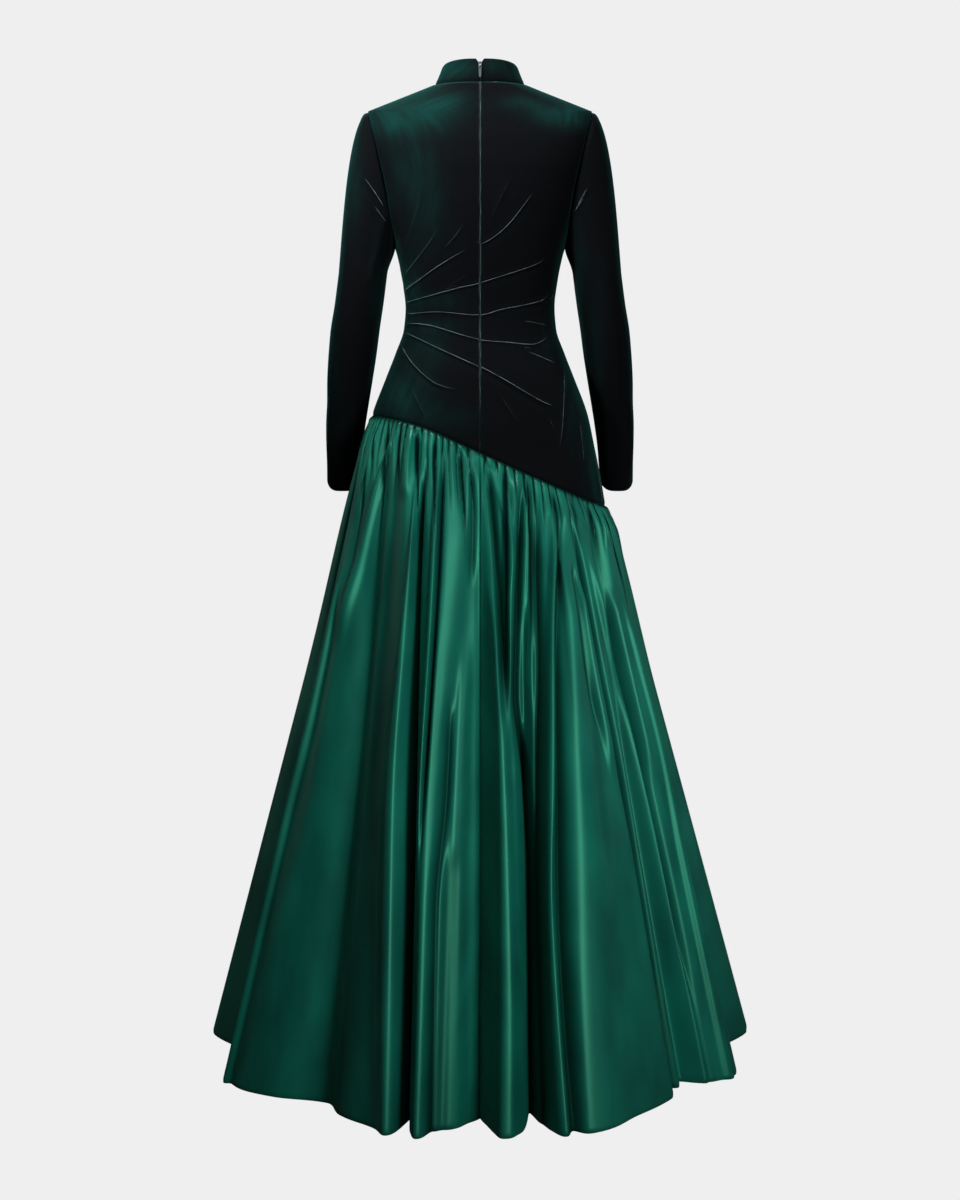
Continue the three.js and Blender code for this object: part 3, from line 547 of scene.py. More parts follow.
# Each crease: height, width, shares over which it fades in and out, and its path in x and level
backCreases = [
    (0.9, 5.2, 0.3, 0.4, [(125, -268), (107, -222), (91, -176)]),
    (1.3, 3.6, 0.05, 0.5, [(119, -301), (80, -253), (64, -226)]),
    (1.2, 3.8, 0.4, 0.4, [(60, -266), (40, -245), (22, -220)]),
    (1.5, 2.5, 0.05, 0.3, [(121, -328), (66, -290), (19, -263)]),
    (0.9, 4.8, 0.4, 0.4, [(-14, -222), (-30, -190), (-50, -149)]),
    (1.6, 2.4, 0.15, 0.3, [(9, -251), (-6, -255), (-42, -229), (-85, -175)]),
    (1.7, 2.4, 0.04, 0.12, [(120.5, -347), (38, -325), (2, -317), (-84, -289), (-104, -275)]),
    (0.9, 6.0, 0.4, 0.4, [(52, -322), (34, -312), (16, -302)]),
    (0.9, 2.7, 0.1, 0.5, [(119, -327), (104, -311)]),
    (1.7, 2.3, 0.04, 0.1, [(120, -365), (67, -362), (2, -367), (-35, -358), (-94, -345), (-112, -330)]),
    (0.9, 2.3, 0.4, 0.4, [(-111, -343), (-119, -333)]),
    (1.7, 2.3, 0.04, 0.1, [(121, -380), (81, -383), (5, -405), (-43, -410), (-86, -413), (-111, -400)]),
    (1.8, 2.3, 0.04, 0.08, [(122, -393), (67, -419), (5, -447), (-6, -451), (-43, -471), (-94, -501),
                            (-119, -511)]),
    (1.7, 2.5, 0.08, 0.3, [(127, -415), (108, -443), (81, -468), (60, -479), (35, -484)]),
    (1.2, 2.9, 0.3, 0.3, [(-70, -376), (-109, -383)]),
    (1.3, 2.9, 0.3, 0.2, [(-75, -424), (-120, -443)]),
    (1.4, 3.2, 0.2, 0.4, [(-135, -450), (-131, -544), (-124, -586)]),
    (1.2, 3.4, 0.3, 0.3, [(-159, -531), (-167, -604)]),
    (1.2, 2.9, 0.3, 0.2, [(-185, -583), (-199, -672)]),
    (0.9, 4.8, 0.4, 0.5, [(-27, -485), (-50, -520), (-68, -543)]),
    (0.8, 3.6, 0.4, 0.5, [(-110, -529), (-119, -550)]),
    (1.0, 4.8, 0.3, 0.4, [(111, -479), (92, -515), (81, -535)]),
]

# Where a green glow is painted on the pile, as light catching it: strength, x, level, and its reach across
# and upwards
backPaintedGlow = [
    (1.0, 122, -60, 62, 27), (0.8, 68, -36, 42, 22), (0.4, 108, -140, 36, 55), (0.3, 80, -215, 26, 50),
    (0.9, -132, -56, 44, 17), (0.5, -72, -36, 36, 14), (0.35, 112, -330, 20, 60), (0.3, 88, -420, 34, 26),
    (0.8, 128, -492, 44, 40), (0.25, 60, -345, 34, 14), (0.25, 66, -385, 40, 12), (0.25, -112, -392, 13, 40),
    (0.25, -152, -505, 18, 60), (0.22, -184, -610, 18, 55), (0.2, 60, -530, 60, 24),
]

# The painted green glow on the front, as on the back
frontPaintedGlow = [
    (0.9, 120, -68, 60, 24), (0.9, -126, -66, 52, 20), (0.35, 100, -150, 36, 55), (0.3, 108, -330, 20, 60),
    (0.7, 126, -495, 42, 40), (0.25, 60, -400, 40, 16), (0.25, -110, -392, 14, 40),
    (0.22, -176, -600, 20, 60),
]

frontCreases = [
    (1.2, 4.0, 0.1, 0.5, [(122, -286), (86, -248), (60, -222)]),
    (1.4, 2.7, 0.05, 0.4, [(118, -316), (66, -294), (14, -276)]),
    (1.6, 2.5, 0.04, 0.3, [(116, -342), (40, -328), (-10, -318), (-64, -300)]),
    (1.7, 2.4, 0.04, 0.2, [(113, -366), (60, -368), (0, -372), (-52, -362), (-98, -346)]),
    (1.7, 2.4, 0.04, 0.15, [(115, -384), (74, -392), (8, -410), (-48, -416), (-96, -410)]),
    (1.7, 2.4, 0.04, 0.15, [(118, -398), (62, -424), (0, -452), (-56, -480), (-104, -502)]),
    (1.5, 2.7, 0.08, 0.4, [(128, -424), (104, -452), (70, -476), (30, -490)]),
    (1.2, 3.2, 0.2, 0.4, [(-134, -456), (-132, -536), (-126, -582)]),
    (1.2, 3.2, 0.3, 0.3, [(-162, -540), (-170, -608)]),
    (0.9, 4.8, 0.3, 0.4, [(108, -486), (90, -520), (78, -546)]),
    (0.9, 4.6, 0.4, 0.5, [(-30, -496), (-58, -534)]),
    (0.9, 4.8, 0.4, 0.4, [(-40, -238), (-66, -204), (-84, -172)]),
]


def edgeDense(count, width):
    # Shares from 0 to 1, closer near both ends, where the cloth rolls into its seams
    near = np.array([0, 0.45, 0.9, 1.4, 2.0, 2.8, 3.8, 5.0, 6.5]) / width
    return np.concatenate([near[:-1], np.linspace(near[-1], 1 - near[-1], count + 1 - 2 * (len(near) - 1)),
                           1 - near[:-1][::-1]])


def bodicePanel(name, fromAcross, toAcross, columns, creases, paintedGlow, behind, seed):
    rng = np.random.default_rng(seed)
    across = mix(fromAcross, toAcross, edgeDense(columns, bodiceCut["width"]))[None, :]
    up = np.linspace(0, 1, bodiceCut["backRows" if behind else "frontRows"] + 1)[:, None]
    points = bodicePoints(up, across, behind)
    normals = gridNormals(points)
    x, level = points[..., 0], points[..., 2]
    lift, marks = creaseField(x, level, creases)
    # The painted green glow, where light would catch the pile
    marks["paintedGlow"] = paintedGlowField(x, level, paintedGlow)
    # Slow unevenness, as cloth on a form is never quite fair
    slow = smoothNoise(rng, level + 0.4 * x, 85) + 0.7 * smoothNoise(rng, x - 0.3 * level, 60)
    lift += 0.5 * slow * smooth(np.minimum(up, 1 - up) / 0.08)
    # Distances to the panel's own edges along the cloth
    fromFirst, fromSeam = walkedTo(points, 1), walkedTo(points, 0)
    toLast = fromFirst[:, -1:] - fromFirst
    toNeck = fromSeam[-1:] - fromSeam
    roll, width = bodiceCut["seamRoll"], bodiceCut["seamRollWidth"]
    lift -= roll * bump(fromSeam, width) + 0.7 * roll * bump(toNeck, width)
    for distance, centre in ((fromFirst, fromAcross == 0), (toLast, toAcross == 0)):
        if centre:
            # The zip's lips stand up and turn in, puckered a little between the stitches
            pucker = 1 + 0.4 * smoothNoise(rng, level, 13)
            below = smooth((form["zipFoot"] - level) / 30)
            lift += mix(0.7, 0.2, below) * pucker * bump(distance - bodiceCut["zipLip"], 1.5)
            lift -= 1.2 * bump(distance, 1.1)
            # A highlight is painted along each lip's crest, weaker below the zip's foot
            onLip = distance < 2.4
            marks["crest"] = np.where(onLip, distance - bodiceCut["zipLip"], marks["crest"])
            marks["crestStrength"] = np.where(onLip, mix(0.5, 0.08, below) * pucker, marks["crestStrength"])
        else:
            lift -= roll * bump(distance, width)
    moved = points + normals * lift[..., None]
    if fromAcross == 0 or toAcross == 0:
        column = 0 if fromAcross == 0 else -1
        moved[:, column, 0] = (1 if fromAcross + toAcross > 0 else -1) * bodiceCut["seamHalfGap"]
    uv = np.stack([fromFirst, fromSeam], axis=-1)
    return addCloth(name, moved, uv, marks, velvetCloth, bodiceCut["thick"]), points


behind, before = bodiceCut["backColumns"], bodiceCut["frontColumns"]
backLeft, backLeftForm = bodicePanel("bodice_back_left", 1, 0, behind, backCreases, backPaintedGlow, True, 11)
backRight, backRightForm = bodicePanel("bodice_back_right", 0, -1, behind, backCreases, backPaintedGlow, True, 12)
front, frontForm = bodicePanel("bodice_front", -1, 1, before, frontCreases, frontPaintedGlow, False, 13)
standFor("bodice_back_left")
standFor("bodice_back_right")
standFor("bodice_front")
print("bodice made")


# Sleeves

sleeveCut = {
    "thick": 1.1,
    "columns": 96,
    "armRadius": 42.0,       # turns round the arm become millimetres of cloth with it
    "armholeGap": 0.5,
    "topLevel": -300.0,
    "seamRoll": 1.6,
    "seamRollWidth": 3.4,
    "cuffTurn": 1.0,
    "cuffLevel": -645.0,
    "cuffRound": 11.0,       # how much lower the cuff hangs in its middle than at its two edges
}

sleeveSections = table("level x halfWidth y halfDepth", [
    (-660, 229.6, 26.8, -86, 36), (-642, 229, 27.5, -81, 37), (-622, 228, 28.5, -75, 38),
    (-583, 226, 30.5, -61, 40),
    (-544, 222.5, 33, -48, 42), (-505, 217.5, 35, -36, 44), (-466, 213, 37.7, -24, 46),
    (-427, 208, 39.4, -14, 48), (-388, 203, 40, -6, 49), (-350, 196.5, 39.6, -1, 50),
    (-300, 189.5, 39.4, 3, 51),
])

# Long soft folds down the arm: height, width, the turn round the arm at its top and foot, and its levels.
# Turn 0 is the underarm, a quarter turn the back and a half turn the top.
sleeveFolds = [
    (1.6, 6.0, 0.16, 0.20, -190, -330),
    (1.2, 8.0, 0.30, 0.27, -330, -560),
    (1.4, 7.0, 0.20, 0.14, -470, -640),
    (1.3, 8.0, 0.38, 0.42, -480, -640),
    (1.4, 7.0, 0.82, 0.78, -200, -340),
    (1.2, 8.0, 0.70, 0.74, -350, -580),
    (1.3, 7.0, 0.62, 0.58, -500, -640),
]

# Creases that run from the armhole out onto the sleeve, in x and level
leftSleeveCreases = [
    (1.8, 3.0, 0.3, 0.2, [(184, -150), (168, -172), (153, -196)]),
    (1.6, 2.6, 0.3, 0.2, [(167, -196), (150, -220)]),
]
rightSleeveCreases = [
    (1.7, 2.8, 0.3, 0.2, [(170, -168), (156, -190)]),
    (1.6, 2.6, 0.3, 0.2, [(164, -184), (150, -204)]),
]

# The painted green glow on the sleeves: strength, x, level, and its reach across and upwards
leftSleevePaintedGlow = [(0.35, 204, -130, 16, 90), (0.3, 244, -400, 16, 150), (0.2, 165, -330, 12, 70)]
rightSleevePaintedGlow = [(0.25, -160, -290, 12, 60), (0.2, -188, -420, 14, 90), (0.15, -214, -160, 12, 70)]


def armholePoints(turn):
    behind = turn <= math.pi
    place = 1 + np.where(behind, turn, 2 * math.pi - turn) / math.pi
    x, yBehind, level = edgePoint(place, seamSides["left"][1], True)
    yBefore = edgePoint(place, seamSides["left"][1], False)[1]
    gap = sleeveCut["armholeGap"] * mix(-4, 1, smooth((1 - np.cos(turn)) / 1.2))
    return np.stack([x + gap, np.where(behind, yBehind, -yBefore), level], axis=-1)


def sleeveSection(level, turn):
    level, turn = np.broadcast_arrays(level, turn)
    at = {key: along(sleeveSections, "level", level, key) for key in ("x", "halfWidth", "y", "halfDepth")}
    x = at["x"] - at["halfWidth"] * np.cos(turn)
    y = at["y"] + at["halfDepth"] * np.sin(turn)
    return np.stack([x, y, level], axis=-1)


def sleeveHead(share, turn):
    # From the armhole, 0, to the upper arm, 1
    raised = (1 - np.cos(turn)) / 2
    start, end = armholePoints(turn), sleeveSection(sleeveCut["topLevel"], turn)
    leave = np.stack([mix(-4, 94, raised ** 1.5), 14 * np.sin(turn), mix(-50, -55, raised)], axis=-1)
    arrive = np.stack([mix(7, 24, raised), 0 * turn, mix(-50, -265, raised)], axis=-1)
    s2, s3 = share ** 2, share ** 3
    return (start * (2 * s3 - 3 * s2 + 1) + leave * (s3 - 2 * s2 + share) + end * (3 * s2 - 2 * s3)
            + arrive * (s3 - s2))


def setInSleeve(name, side, creases, paintedGlow, seed):
    rng = np.random.default_rng(seed)
    turn = np.linspace(0, 2 * math.pi, sleeveCut["columns"] + 1)
    cuff = sleeveCut["cuffLevel"]
    levels = np.concatenate([
        np.linspace(cuff, cuff + 10, 6), np.linspace(cuff + 14, sleeveCut["topLevel"], 84),
    ])
    arm = sleeveSection(levels[:, None], turn[None, :])
    rounding = sleeveCut["cuffRound"] * (1 - np.cos(turn) ** 4)
    arm[..., 2] -= rounding[None, :] * (1 - smooth((levels - cuff) / 60))[:, None]
    shares = np.linspace(1, 0, 60)[1:]
    head = np.stack([sleeveHead(share, turn) for share in shares])
    points = np.concatenate([arm, head])
    points = points[:, ::-1] if side > 0 else points
    turns = np.broadcast_to(turn[::-1] if side > 0 else turn, points.shape[:2])
    points = points * np.array([side, 1, 1])
    normals = gridNormals(points)
    seam = 0.5 * (normals[:, 0] + normals[:, -1])
    seam /= np.linalg.norm(seam, axis=1, keepdims=True)
    normals[:, 0] = normals[:, -1] = seam
    level = points[..., 2]
    fromCuff = walkedTo(points, 0)
    toArmhole = fromCuff[-1:] - fromCuff
    lift, marks = creaseField(np.abs(points[..., 0]), level, creases)
    behind = smooth(np.sin(turns) / 0.3)
    lift = lift * behind
    marks["crestStrength"] = marks["crestStrength"] * behind
    # The painted green glow, where light would catch the pile
    marks["paintedGlow"] = paintedGlowField(points[..., 0], level, paintedGlow)
    radius = sleeveCut["armRadius"]
    girth = 2 * math.pi * radius
    for height, width, topTurn, footTurn, top, foot in sleeveFolds:
        share = np.clip((level - top) / (foot - top), 0, 1)
        wander = 0.012 * smoothNoise(rng, level, 70)
        off = (turns / (2 * math.pi) - mix(topTurn, footTurn, share) - wander) * girth
        ends = smooth(4 * share) * smooth(4 * (1 - share))
        lift += height * ends * (bump(off, width) - 0.6 * bump(off - 2 * width, 1.4 * width))
    raised = (1 - np.cos(turns)) / 2
    roll = sleeveCut["seamRoll"] * mix(0.1, 1, smooth(raised * 2))
    lift -= roll * bump(toArmhole, sleeveCut["seamRollWidth"])
    # A little fullness eased into the head
    eased = smooth((turns / math.pi - 0.55) / 0.2) * smooth((1.45 - turns / math.pi) / 0.2)
    lift += 0.8 * eased * bump(toArmhole - 9, 7) * (1 + 0.5 * smoothNoise(rng, turns * radius, 12))
    lift -= sleeveCut["cuffTurn"] * bump(fromCuff, 2.2)
    lift -= 0.6 * bump(np.minimum(turns, 2 * math.pi - turns) * radius, 2.2) * smooth(toArmhole / 6)
    moved = points + normals * lift[..., None]
    moved[:, -1] = moved[:, 0] = 0.5 * (moved[:, 0] + moved[:, -1])
    rows, columns = moved.shape[:2]
    uv = np.stack([np.broadcast_to(np.linspace(0, girth, columns), (rows, columns)), fromCuff], axis=-1)
    piece = addCloth(name, moved, uv, marks, velvetCloth, sleeveCut["thick"])
    weld(piece)
    return piece


def weld(piece):
    # Joins the two ends of a tube's rows
    shape = bmesh.new()
    shape.from_mesh(piece.data)
    bmesh.ops.remove_doubles(shape, verts=shape.verts, dist=0.01 * mm)
    shape.to_mesh(piece.data)
    shape.free()


sleeveLeft = setInSleeve("sleeve_left", 1, leftSleeveCreases, leftSleevePaintedGlow, 21)
sleeveRight = setInSleeve("sleeve_right", -1, rightSleeveCreases, rightSleevePaintedGlow, 22)
standFor("sleeve_left")
standFor("sleeve_right")
print("sleeves made")


# Collar

collarCut = {
    "thick": 1.2,
    "height": 36.0,
    "narrowing": 0.83,
    "tilt": 0.91,
    "notchHalfWidth": 8.0,   # the rounded opening between the collar's two ends
    "notchDepth": 9.0,
    "sideDrop": 10.0,        # how much lower the collar stands at the sides
    "foot": 0.3,
    "rows": 22,
}

# The painted green glow at the collar's sides: strength, x, height, and its reach across and upwards
collarPaintedGlow = [(0.85, 34, 24, 26, 14), (0.6, 58, 20, 20, 20), (0.7, -24, 26, 20, 12), (0.6, -56, 20, 16, 20)]


def standCollar():
    # Once round the neckline from the right of the centre back, leaning inwards as it rises
    foot = np.concatenate([backRightForm[-1], frontForm[-1][1:-1], backLeftForm[-1]])
    isBack = np.ones(len(foot), bool)
    isBack[len(backRightForm[-1]):-len(backLeftForm[-1])] = False
    rise = np.linspace(0, 1, collarCut["rows"] + 1)[:, None]
    fromEnd = np.minimum(1, np.abs(foot[:, 0]) / collarCut["notchHalfWidth"])
    drop = np.where(isBack, collarCut["notchDepth"] * (1 - fromEnd) ** 1.2, 0)[None, :]
    lean = rise ** 0.8
    x = foot[None, :, 0] * mix(1, collarCut["narrowing"], lean)
    y = foot[None, :, 1] * mix(1, collarCut["tilt"], lean)
    aside = np.minimum(1, np.abs(foot[:, 0]) / form["sideNeck"][0])
    lower = collarCut["sideDrop"] * (1 - np.sqrt(1 - 0.98 * aside ** 2.5))[None, :]
    z = foot[None, :, 2] + collarCut["foot"] + rise * (collarCut["height"] - drop - lower)
    points = np.stack([x, y, z], axis=-1)
    points[:, 0, 0], points[:, -1, 0] = -0.15, 0.15
    normals = gridNormals(points)
    fromFirst = walkedTo(points, 1)
    fromEnds = np.minimum(fromFirst, fromFirst[:, -1:] - fromFirst)
    height = rise * collarCut["height"]
    rng = np.random.default_rng(31)
    lift = -1.2 * bump(height, 3.0) - 0.9 * bump(collarCut["height"] - height, 2.0)
    lift = lift - 1.0 * bump(fromEnds, 1.8)
    lift = lift + 0.35 * smoothNoise(rng, fromFirst + 0.5 * height, 34) * smooth(fromEnds / 12)
    moved = points + normals * lift[..., None]
    uv = np.stack([fromFirst, np.broadcast_to(height, fromFirst.shape)], axis=-1)
    # The painted green glow at the collar's sides
    paintedGlow = paintedGlowField(points[..., 0], np.broadcast_to(height, fromFirst.shape), collarPaintedGlow)
    marks = {"crestStrength": 0 * fromFirst, "paintedGlow": paintedGlow}
    return addCloth("stand_collar", moved, uv, marks, velvetCloth, collarCut["thick"])


collar = standCollar()
standFor("collar_stand")
print("collar made")


# Skirt

skirtCut = {
    "thick": 0.8,
    "backColumns": 270,
    "frontColumns": 250,
    "backRows": 165,
    "frontRows": 118,
    "meanRadius": 446.0,
    "foldGrowth": 0.62,
    "puffLeft": 3.0,
    "puffRight": 7.0,
    "seamGap": 0.25,
    "foldGain": (1.5, 2.5),  # how high the long folds stand near the seam and towards the hem
    "halfGirth": (500, 1400),  # mm of cloth half way round, at the seam and at the hem
    "length": 950,
    "ridgeWiden": 1.7,
    "valleyWiden": 1.2,
    # Gathers in half the girth, their height, shortest and longest fall, and the fall over which they rise
    "gathers": [(44, 6.5, 0.02, 0.15, 0.005), (17, 8.0, 0.1, 0.45, 0.03)],
    "hemTurn": 1.6,
}

# Folds once round from the centre back by the wearer's left: share of the half girth at the seam, and the
# angle and radius where each line meets the hem
foldLines = table("seam angle radius", [
    (0, 0, 410), (0.035, 3.5, 436), (0.075, 8, 468), (0.11, 11.2, 486), (0.135, 12.8, 470),
    (0.16, 13.9, 424), (0.175, 14.9, 466), (0.19, 17, 480), (0.215, 22, 466), (0.245, 28.5, 454),
    (0.28, 34.5, 417), (0.33, 45, 438),
    (0.4, 58, 466), (0.435, 65, 444), (0.465, 74, 402), (0.5, 90, 454), (0.54, 103, 414), (0.57, 110, 444),
    (0.61, 121, 456), (0.65, 130, 440), (0.675, 134.5, 402), (0.705, 140, 440), (0.76, 151, 458),
    (0.8, 158, 444), (0.83, 162, 398), (0.86, 166, 436), (0.91, 174, 452), (0.955, 181, 440),
    (0.985, 185.5, 396), (1.02, 190, 438), (1.08, 200, 456), (1.13, 209, 442), (1.16, 214, 400),
    (1.19, 218.5, 440), (1.25, 229, 458), (1.3, 239, 444), (1.33, 244, 404), (1.365, 249.5, 440),
    (1.43, 259, 456), (1.5, 270, 454), (1.535, 284, 404), (1.6, 298, 462), (1.66, 304, 446),
    (1.71, 308.6, 400),
    (1.735, 313, 428), (1.765, 321, 446), (1.8, 331, 464), (1.84, 341.5, 481), (1.875, 347, 470),
    (1.915, 349.5, 414), (1.945, 353, 472), (1.965, 356.5, 474), (1.99, 359, 430), (2, 360, 410),
])


def placeOnPanel(share):
    return np.where(share <= 0.5, 2 * share, np.where(share < 1.5, 2 - 2 * share, 2 * share - 4))


def halfGirth(fall):
    return mix(*skirtCut["halfGirth"], fall)


def gatherField(share, fall, seed):
    # Small gathers at the seam, each of its own height and length, and wider ones that carry some of them
    # down. Gives their lift and how deep in a slit each place lies.
    rng = np.random.default_rng(seed)
    lift, slit = np.zeros(share.shape), np.zeros(share.shape)
    for pitch, height, shortest, longest, start in skirtCut["gathers"]:
        wander = 0.35 * smoothNoise(rng, share * pitch, 2.3)
        lean = 0.6 * smoothNoise(rng, share * pitch, 5.0) * smooth(fall / 0.15)
        phase = share * pitch + wander + lean
        number = np.floor(phase).astype(int)
        own = number - number.min()
        heights = rng.uniform(0.5, 1.3, own.max() + 1)
        lengths = shortest + (longest - shortest) * rng.random(own.max() + 1) ** 1.8
        fade = smooth(fall / start) * (1 - smooth((fall - 0.3 * lengths[own]) / (0.7 * lengths[own])))
        rounded = np.abs(np.sin(math.pi * phase)) ** 0.45
        lift += height * heights[own] * fade * (rounded - 0.5)
        slit += heights[own] * fade * smooth((0.75 - rounded) / 0.3)
    return lift, slit


def longFolds(share, fall, folds):
    # Ridges, and valleys where the height is negative: height, widths at its start and end, then its path
    # down. Gives their lift and how deep in a valley each place lies.
    lift, valley = np.zeros(share.shape), np.zeros(share.shape)
    for height, startWidth, endWidth, path in folds:
        line = table("fall share", path)
        first, last = line["fall"][0], line["fall"][-1]
        t = (fall - first) / (last - first)
        centre = along(line, "fall", fall, "share")
        off = (share - centre) * halfGirth(fall)
        ends = smooth((t + 0.02) / 0.14) * (1 if last >= 1 else smooth((1.02 - t) / 0.3))
        widen = skirtCut["ridgeWiden"] if height > 0 else skirtCut["valleyWiden"]
        width = mix(startWidth, endWidth, np.clip(t, 0, 1)) * widen
        # A ridge is broad and rounded with steep sides, a valley narrow
        lift += height * ends * (np.exp(-np.abs(off / width) ** 3) if height > 0 else bump(off, width))
        if height < 0:
            valley += min(1, -height / 6) * ends * bump(off, width)
    return lift * mix(skirtCut["foldGain"][0], skirtCut["foldGain"][1], smooth(fall / 0.5)), valley


# Each fold of the back, a ridge, or a valley where its height is negative: height, widths at its two ends,
# and its path as falls from the seam and shares of the half girth
backFolds = [
    (5.0, 14, 34, [(0.2, 0.37), (0.35, 0.33), (0.55, 0.325), (0.75, 0.34), (1, 0.35)]),
    (-3.0, 8, 26, [(0.04, 0.225), (0.2, 0.232), (0.66, 0.24), (1, 0.25)]),
    (4.0, 2.6, 6, [(0.01, 0.233), (0.06, 0.283), (0.15, 0.315), (0.26, 0.335), (0.36, 0.345)]),
    (3.0, 2.6, 5, [(0.01, 0.339), (0.06, 0.348), (0.17, 0.377)]),
    (3.0, 2.6, 5, [(0.01, 0.182), (0.05, 0.194), (0.12, 0.205)]),
    (7.0, 3.2, 11, [(0.01, 0.147), (0.07, 0.157), (0.16, 0.167), (0.32, 0.183), (0.53, 0.197), (0.71, 0.193),
                    (1, 0.183)]),
    (-9.0, 3, 8, [(0.03, 0.128), (0.1, 0.14), (0.32, 0.161), (0.46, 0.167), (0.7, 0.168), (1, 0.17)]),
    (4.0, 3, 6, [(0.05, 0.098), (0.2, 0.102), (0.35, 0.11), (0.53, 0.124), (0.72, 0.126)]),
    (-7.0, 2.6, 4, [(0.02, 0.084), (0.12, 0.086), (0.21, 0.09), (0.4, 0.101), (0.63, 0.115)]),
    (5.0, 12, 18, [(0.04, 0.05), (0.21, 0.06), (0.36, 0.079), (0.53, 0.093), (0.71, 0.097), (1, 0.1)]),
    (-5.0, 5, 9, [(0.38, 0.06), (0.54, 0.068), (0.69, 0.083), (1, 0.085)]),
    (-2.5, 14, 22, [(0.6, 0.05), (0.8, 0.06), (1, 0.068)]),
    (3.0, 6, 14, [(0.3, 0.028), (0.5, 0.04), (0.7, 0.046), (1, 0.048)]),
    (-4.0, 2.4, 4, [(0.03, 0.015), (0.1, 0.013), (0.22, 0.018)]),
    (4.0, 2.5, 4, [(0.22, 0.38), (0.45, 0.384), (0.6, 0.394), (1, 0.4)]),
    (-7.0, 3, 7, [(0.01, 1.99), (0.07, 1.982), (0.15, 1.973), (0.29, 1.961), (0.42, 1.955)]),
    (6.5, 3.5, 9, [(0.18, 1.985), (0.28, 1.974), (0.41, 1.965), (0.59, 1.959), (0.8, 1.957), (1, 1.959)]),
    (5.0, 2.6, 3.5, [(0.03, 1.964), (0.14, 1.948), (0.27, 1.951), (0.47, 1.95)]),
    (4.0, 2.6, 5, [(0.01, 1.93), (0.09, 1.938), (0.2, 1.944)]),
    (-10.0, 2.6, 12, [(0.02, 1.92), (0.1, 1.925), (0.27, 1.934), (0.36, 1.938), (0.5, 1.913), (0.66, 1.904),
                      (1, 1.906)]),
    (4.0, 2.2, 4, [(0.02, 1.906), (0.1, 1.911), (0.26, 1.918)]),
    (3.5, 2.4, 5, [(0.05, 1.896), (0.16, 1.897), (0.33, 1.905), (0.45, 1.903)]),
    (-6.0, 4, 9, [(0.03, 1.876), (0.12, 1.882), (0.3, 1.879), (0.45, 1.885), (0.6, 1.888), (1, 1.885)]),
    (7.5, 3, 8, [(0.01, 1.834), (0.15, 1.848), (0.32, 1.86), (0.49, 1.868), (0.65, 1.875), (0.78, 1.871),
                 (1, 1.861)]),
    (-6.0, 3, 8, [(0.03, 1.825), (0.25, 1.847), (0.42, 1.849), (0.7, 1.854), (1, 1.85)]),
    (6.0, 6, 22, [(0.1, 1.825), (0.23, 1.812), (0.42, 1.815), (0.58, 1.818), (0.79, 1.826), (1, 1.829)]),
    (-4.0, 3, 5, [(0.12, 1.802), (0.28, 1.797), (0.43, 1.777)]),
    (4.0, 3, 5, [(0.15, 1.785), (0.33, 1.775), (0.5, 1.765)]),
    (-9.0, 3, 9, [(0.03, 1.8), (0.1, 1.781), (0.26, 1.763), (0.42, 1.749), (0.63, 1.74), (1, 1.738)]),
    (6.0, 4, 12, [(0.08, 1.745), (0.28, 1.715), (0.42, 1.697), (0.63, 1.688), (1, 1.688)]),
    (-4.0, 4, 10, [(0.15, 1.692), (0.37, 1.68), (0.65, 1.673), (0.9, 1.67)]),
    (3.0, 4, 8, [(0.15, 1.676), (0.37, 1.658), (0.5, 1.652)]),
    (2.5, 4, 10, [(0.15, 1.63), (0.42, 1.6), (0.61, 1.614), (1, 1.622)]),
]


def foldsBefore(folds, seed):
    # Like folds on the hidden front, facing those of the back, each stronger or weaker and a little moved
    rng = np.random.default_rng(seed)
    made = []
    for height, startWidth, endWidth, path in folds:
        strength, moved = rng.uniform(0.7, 1.15), rng.uniform(-0.012, 0.012)
        opposite = [(fall, (1 if share < 1 else 3) - share + moved) for fall, share in path]
        made.append((height * strength, startWidth, endWidth * rng.uniform(0.9, 1.3), opposite))
    return made


frontFolds = foldsBefore(backFolds, 44)


def skirtPoints(share, fall, tops, lift):
    turn = np.radians(along(foldLines, "seam", share, "angle"))
    outward = np.stack([np.sin(turn), np.cos(turn), 0 * turn], axis=-1)
    hem = outward * skirtCut["meanRadius"]
    hem[..., 2] = form["hemLevel"]
    toRight = (1 - np.cos(math.pi * (share - 0.5))) / 2
    puff = mix(skirtCut["puffLeft"], skirtCut["puffRight"], toRight)
    swell = smooth(fall / 0.05) * (1 - smooth((fall - 0.05) / 0.3))
    fold = along(foldLines, "seam", share, "radius") - skirtCut["meanRadius"]
    fold = fold * fall ** skirtCut["foldGrowth"]
    return mix(tops, hem, fall[..., None]) + outward * (fold + puff * swell + lift)[..., None]


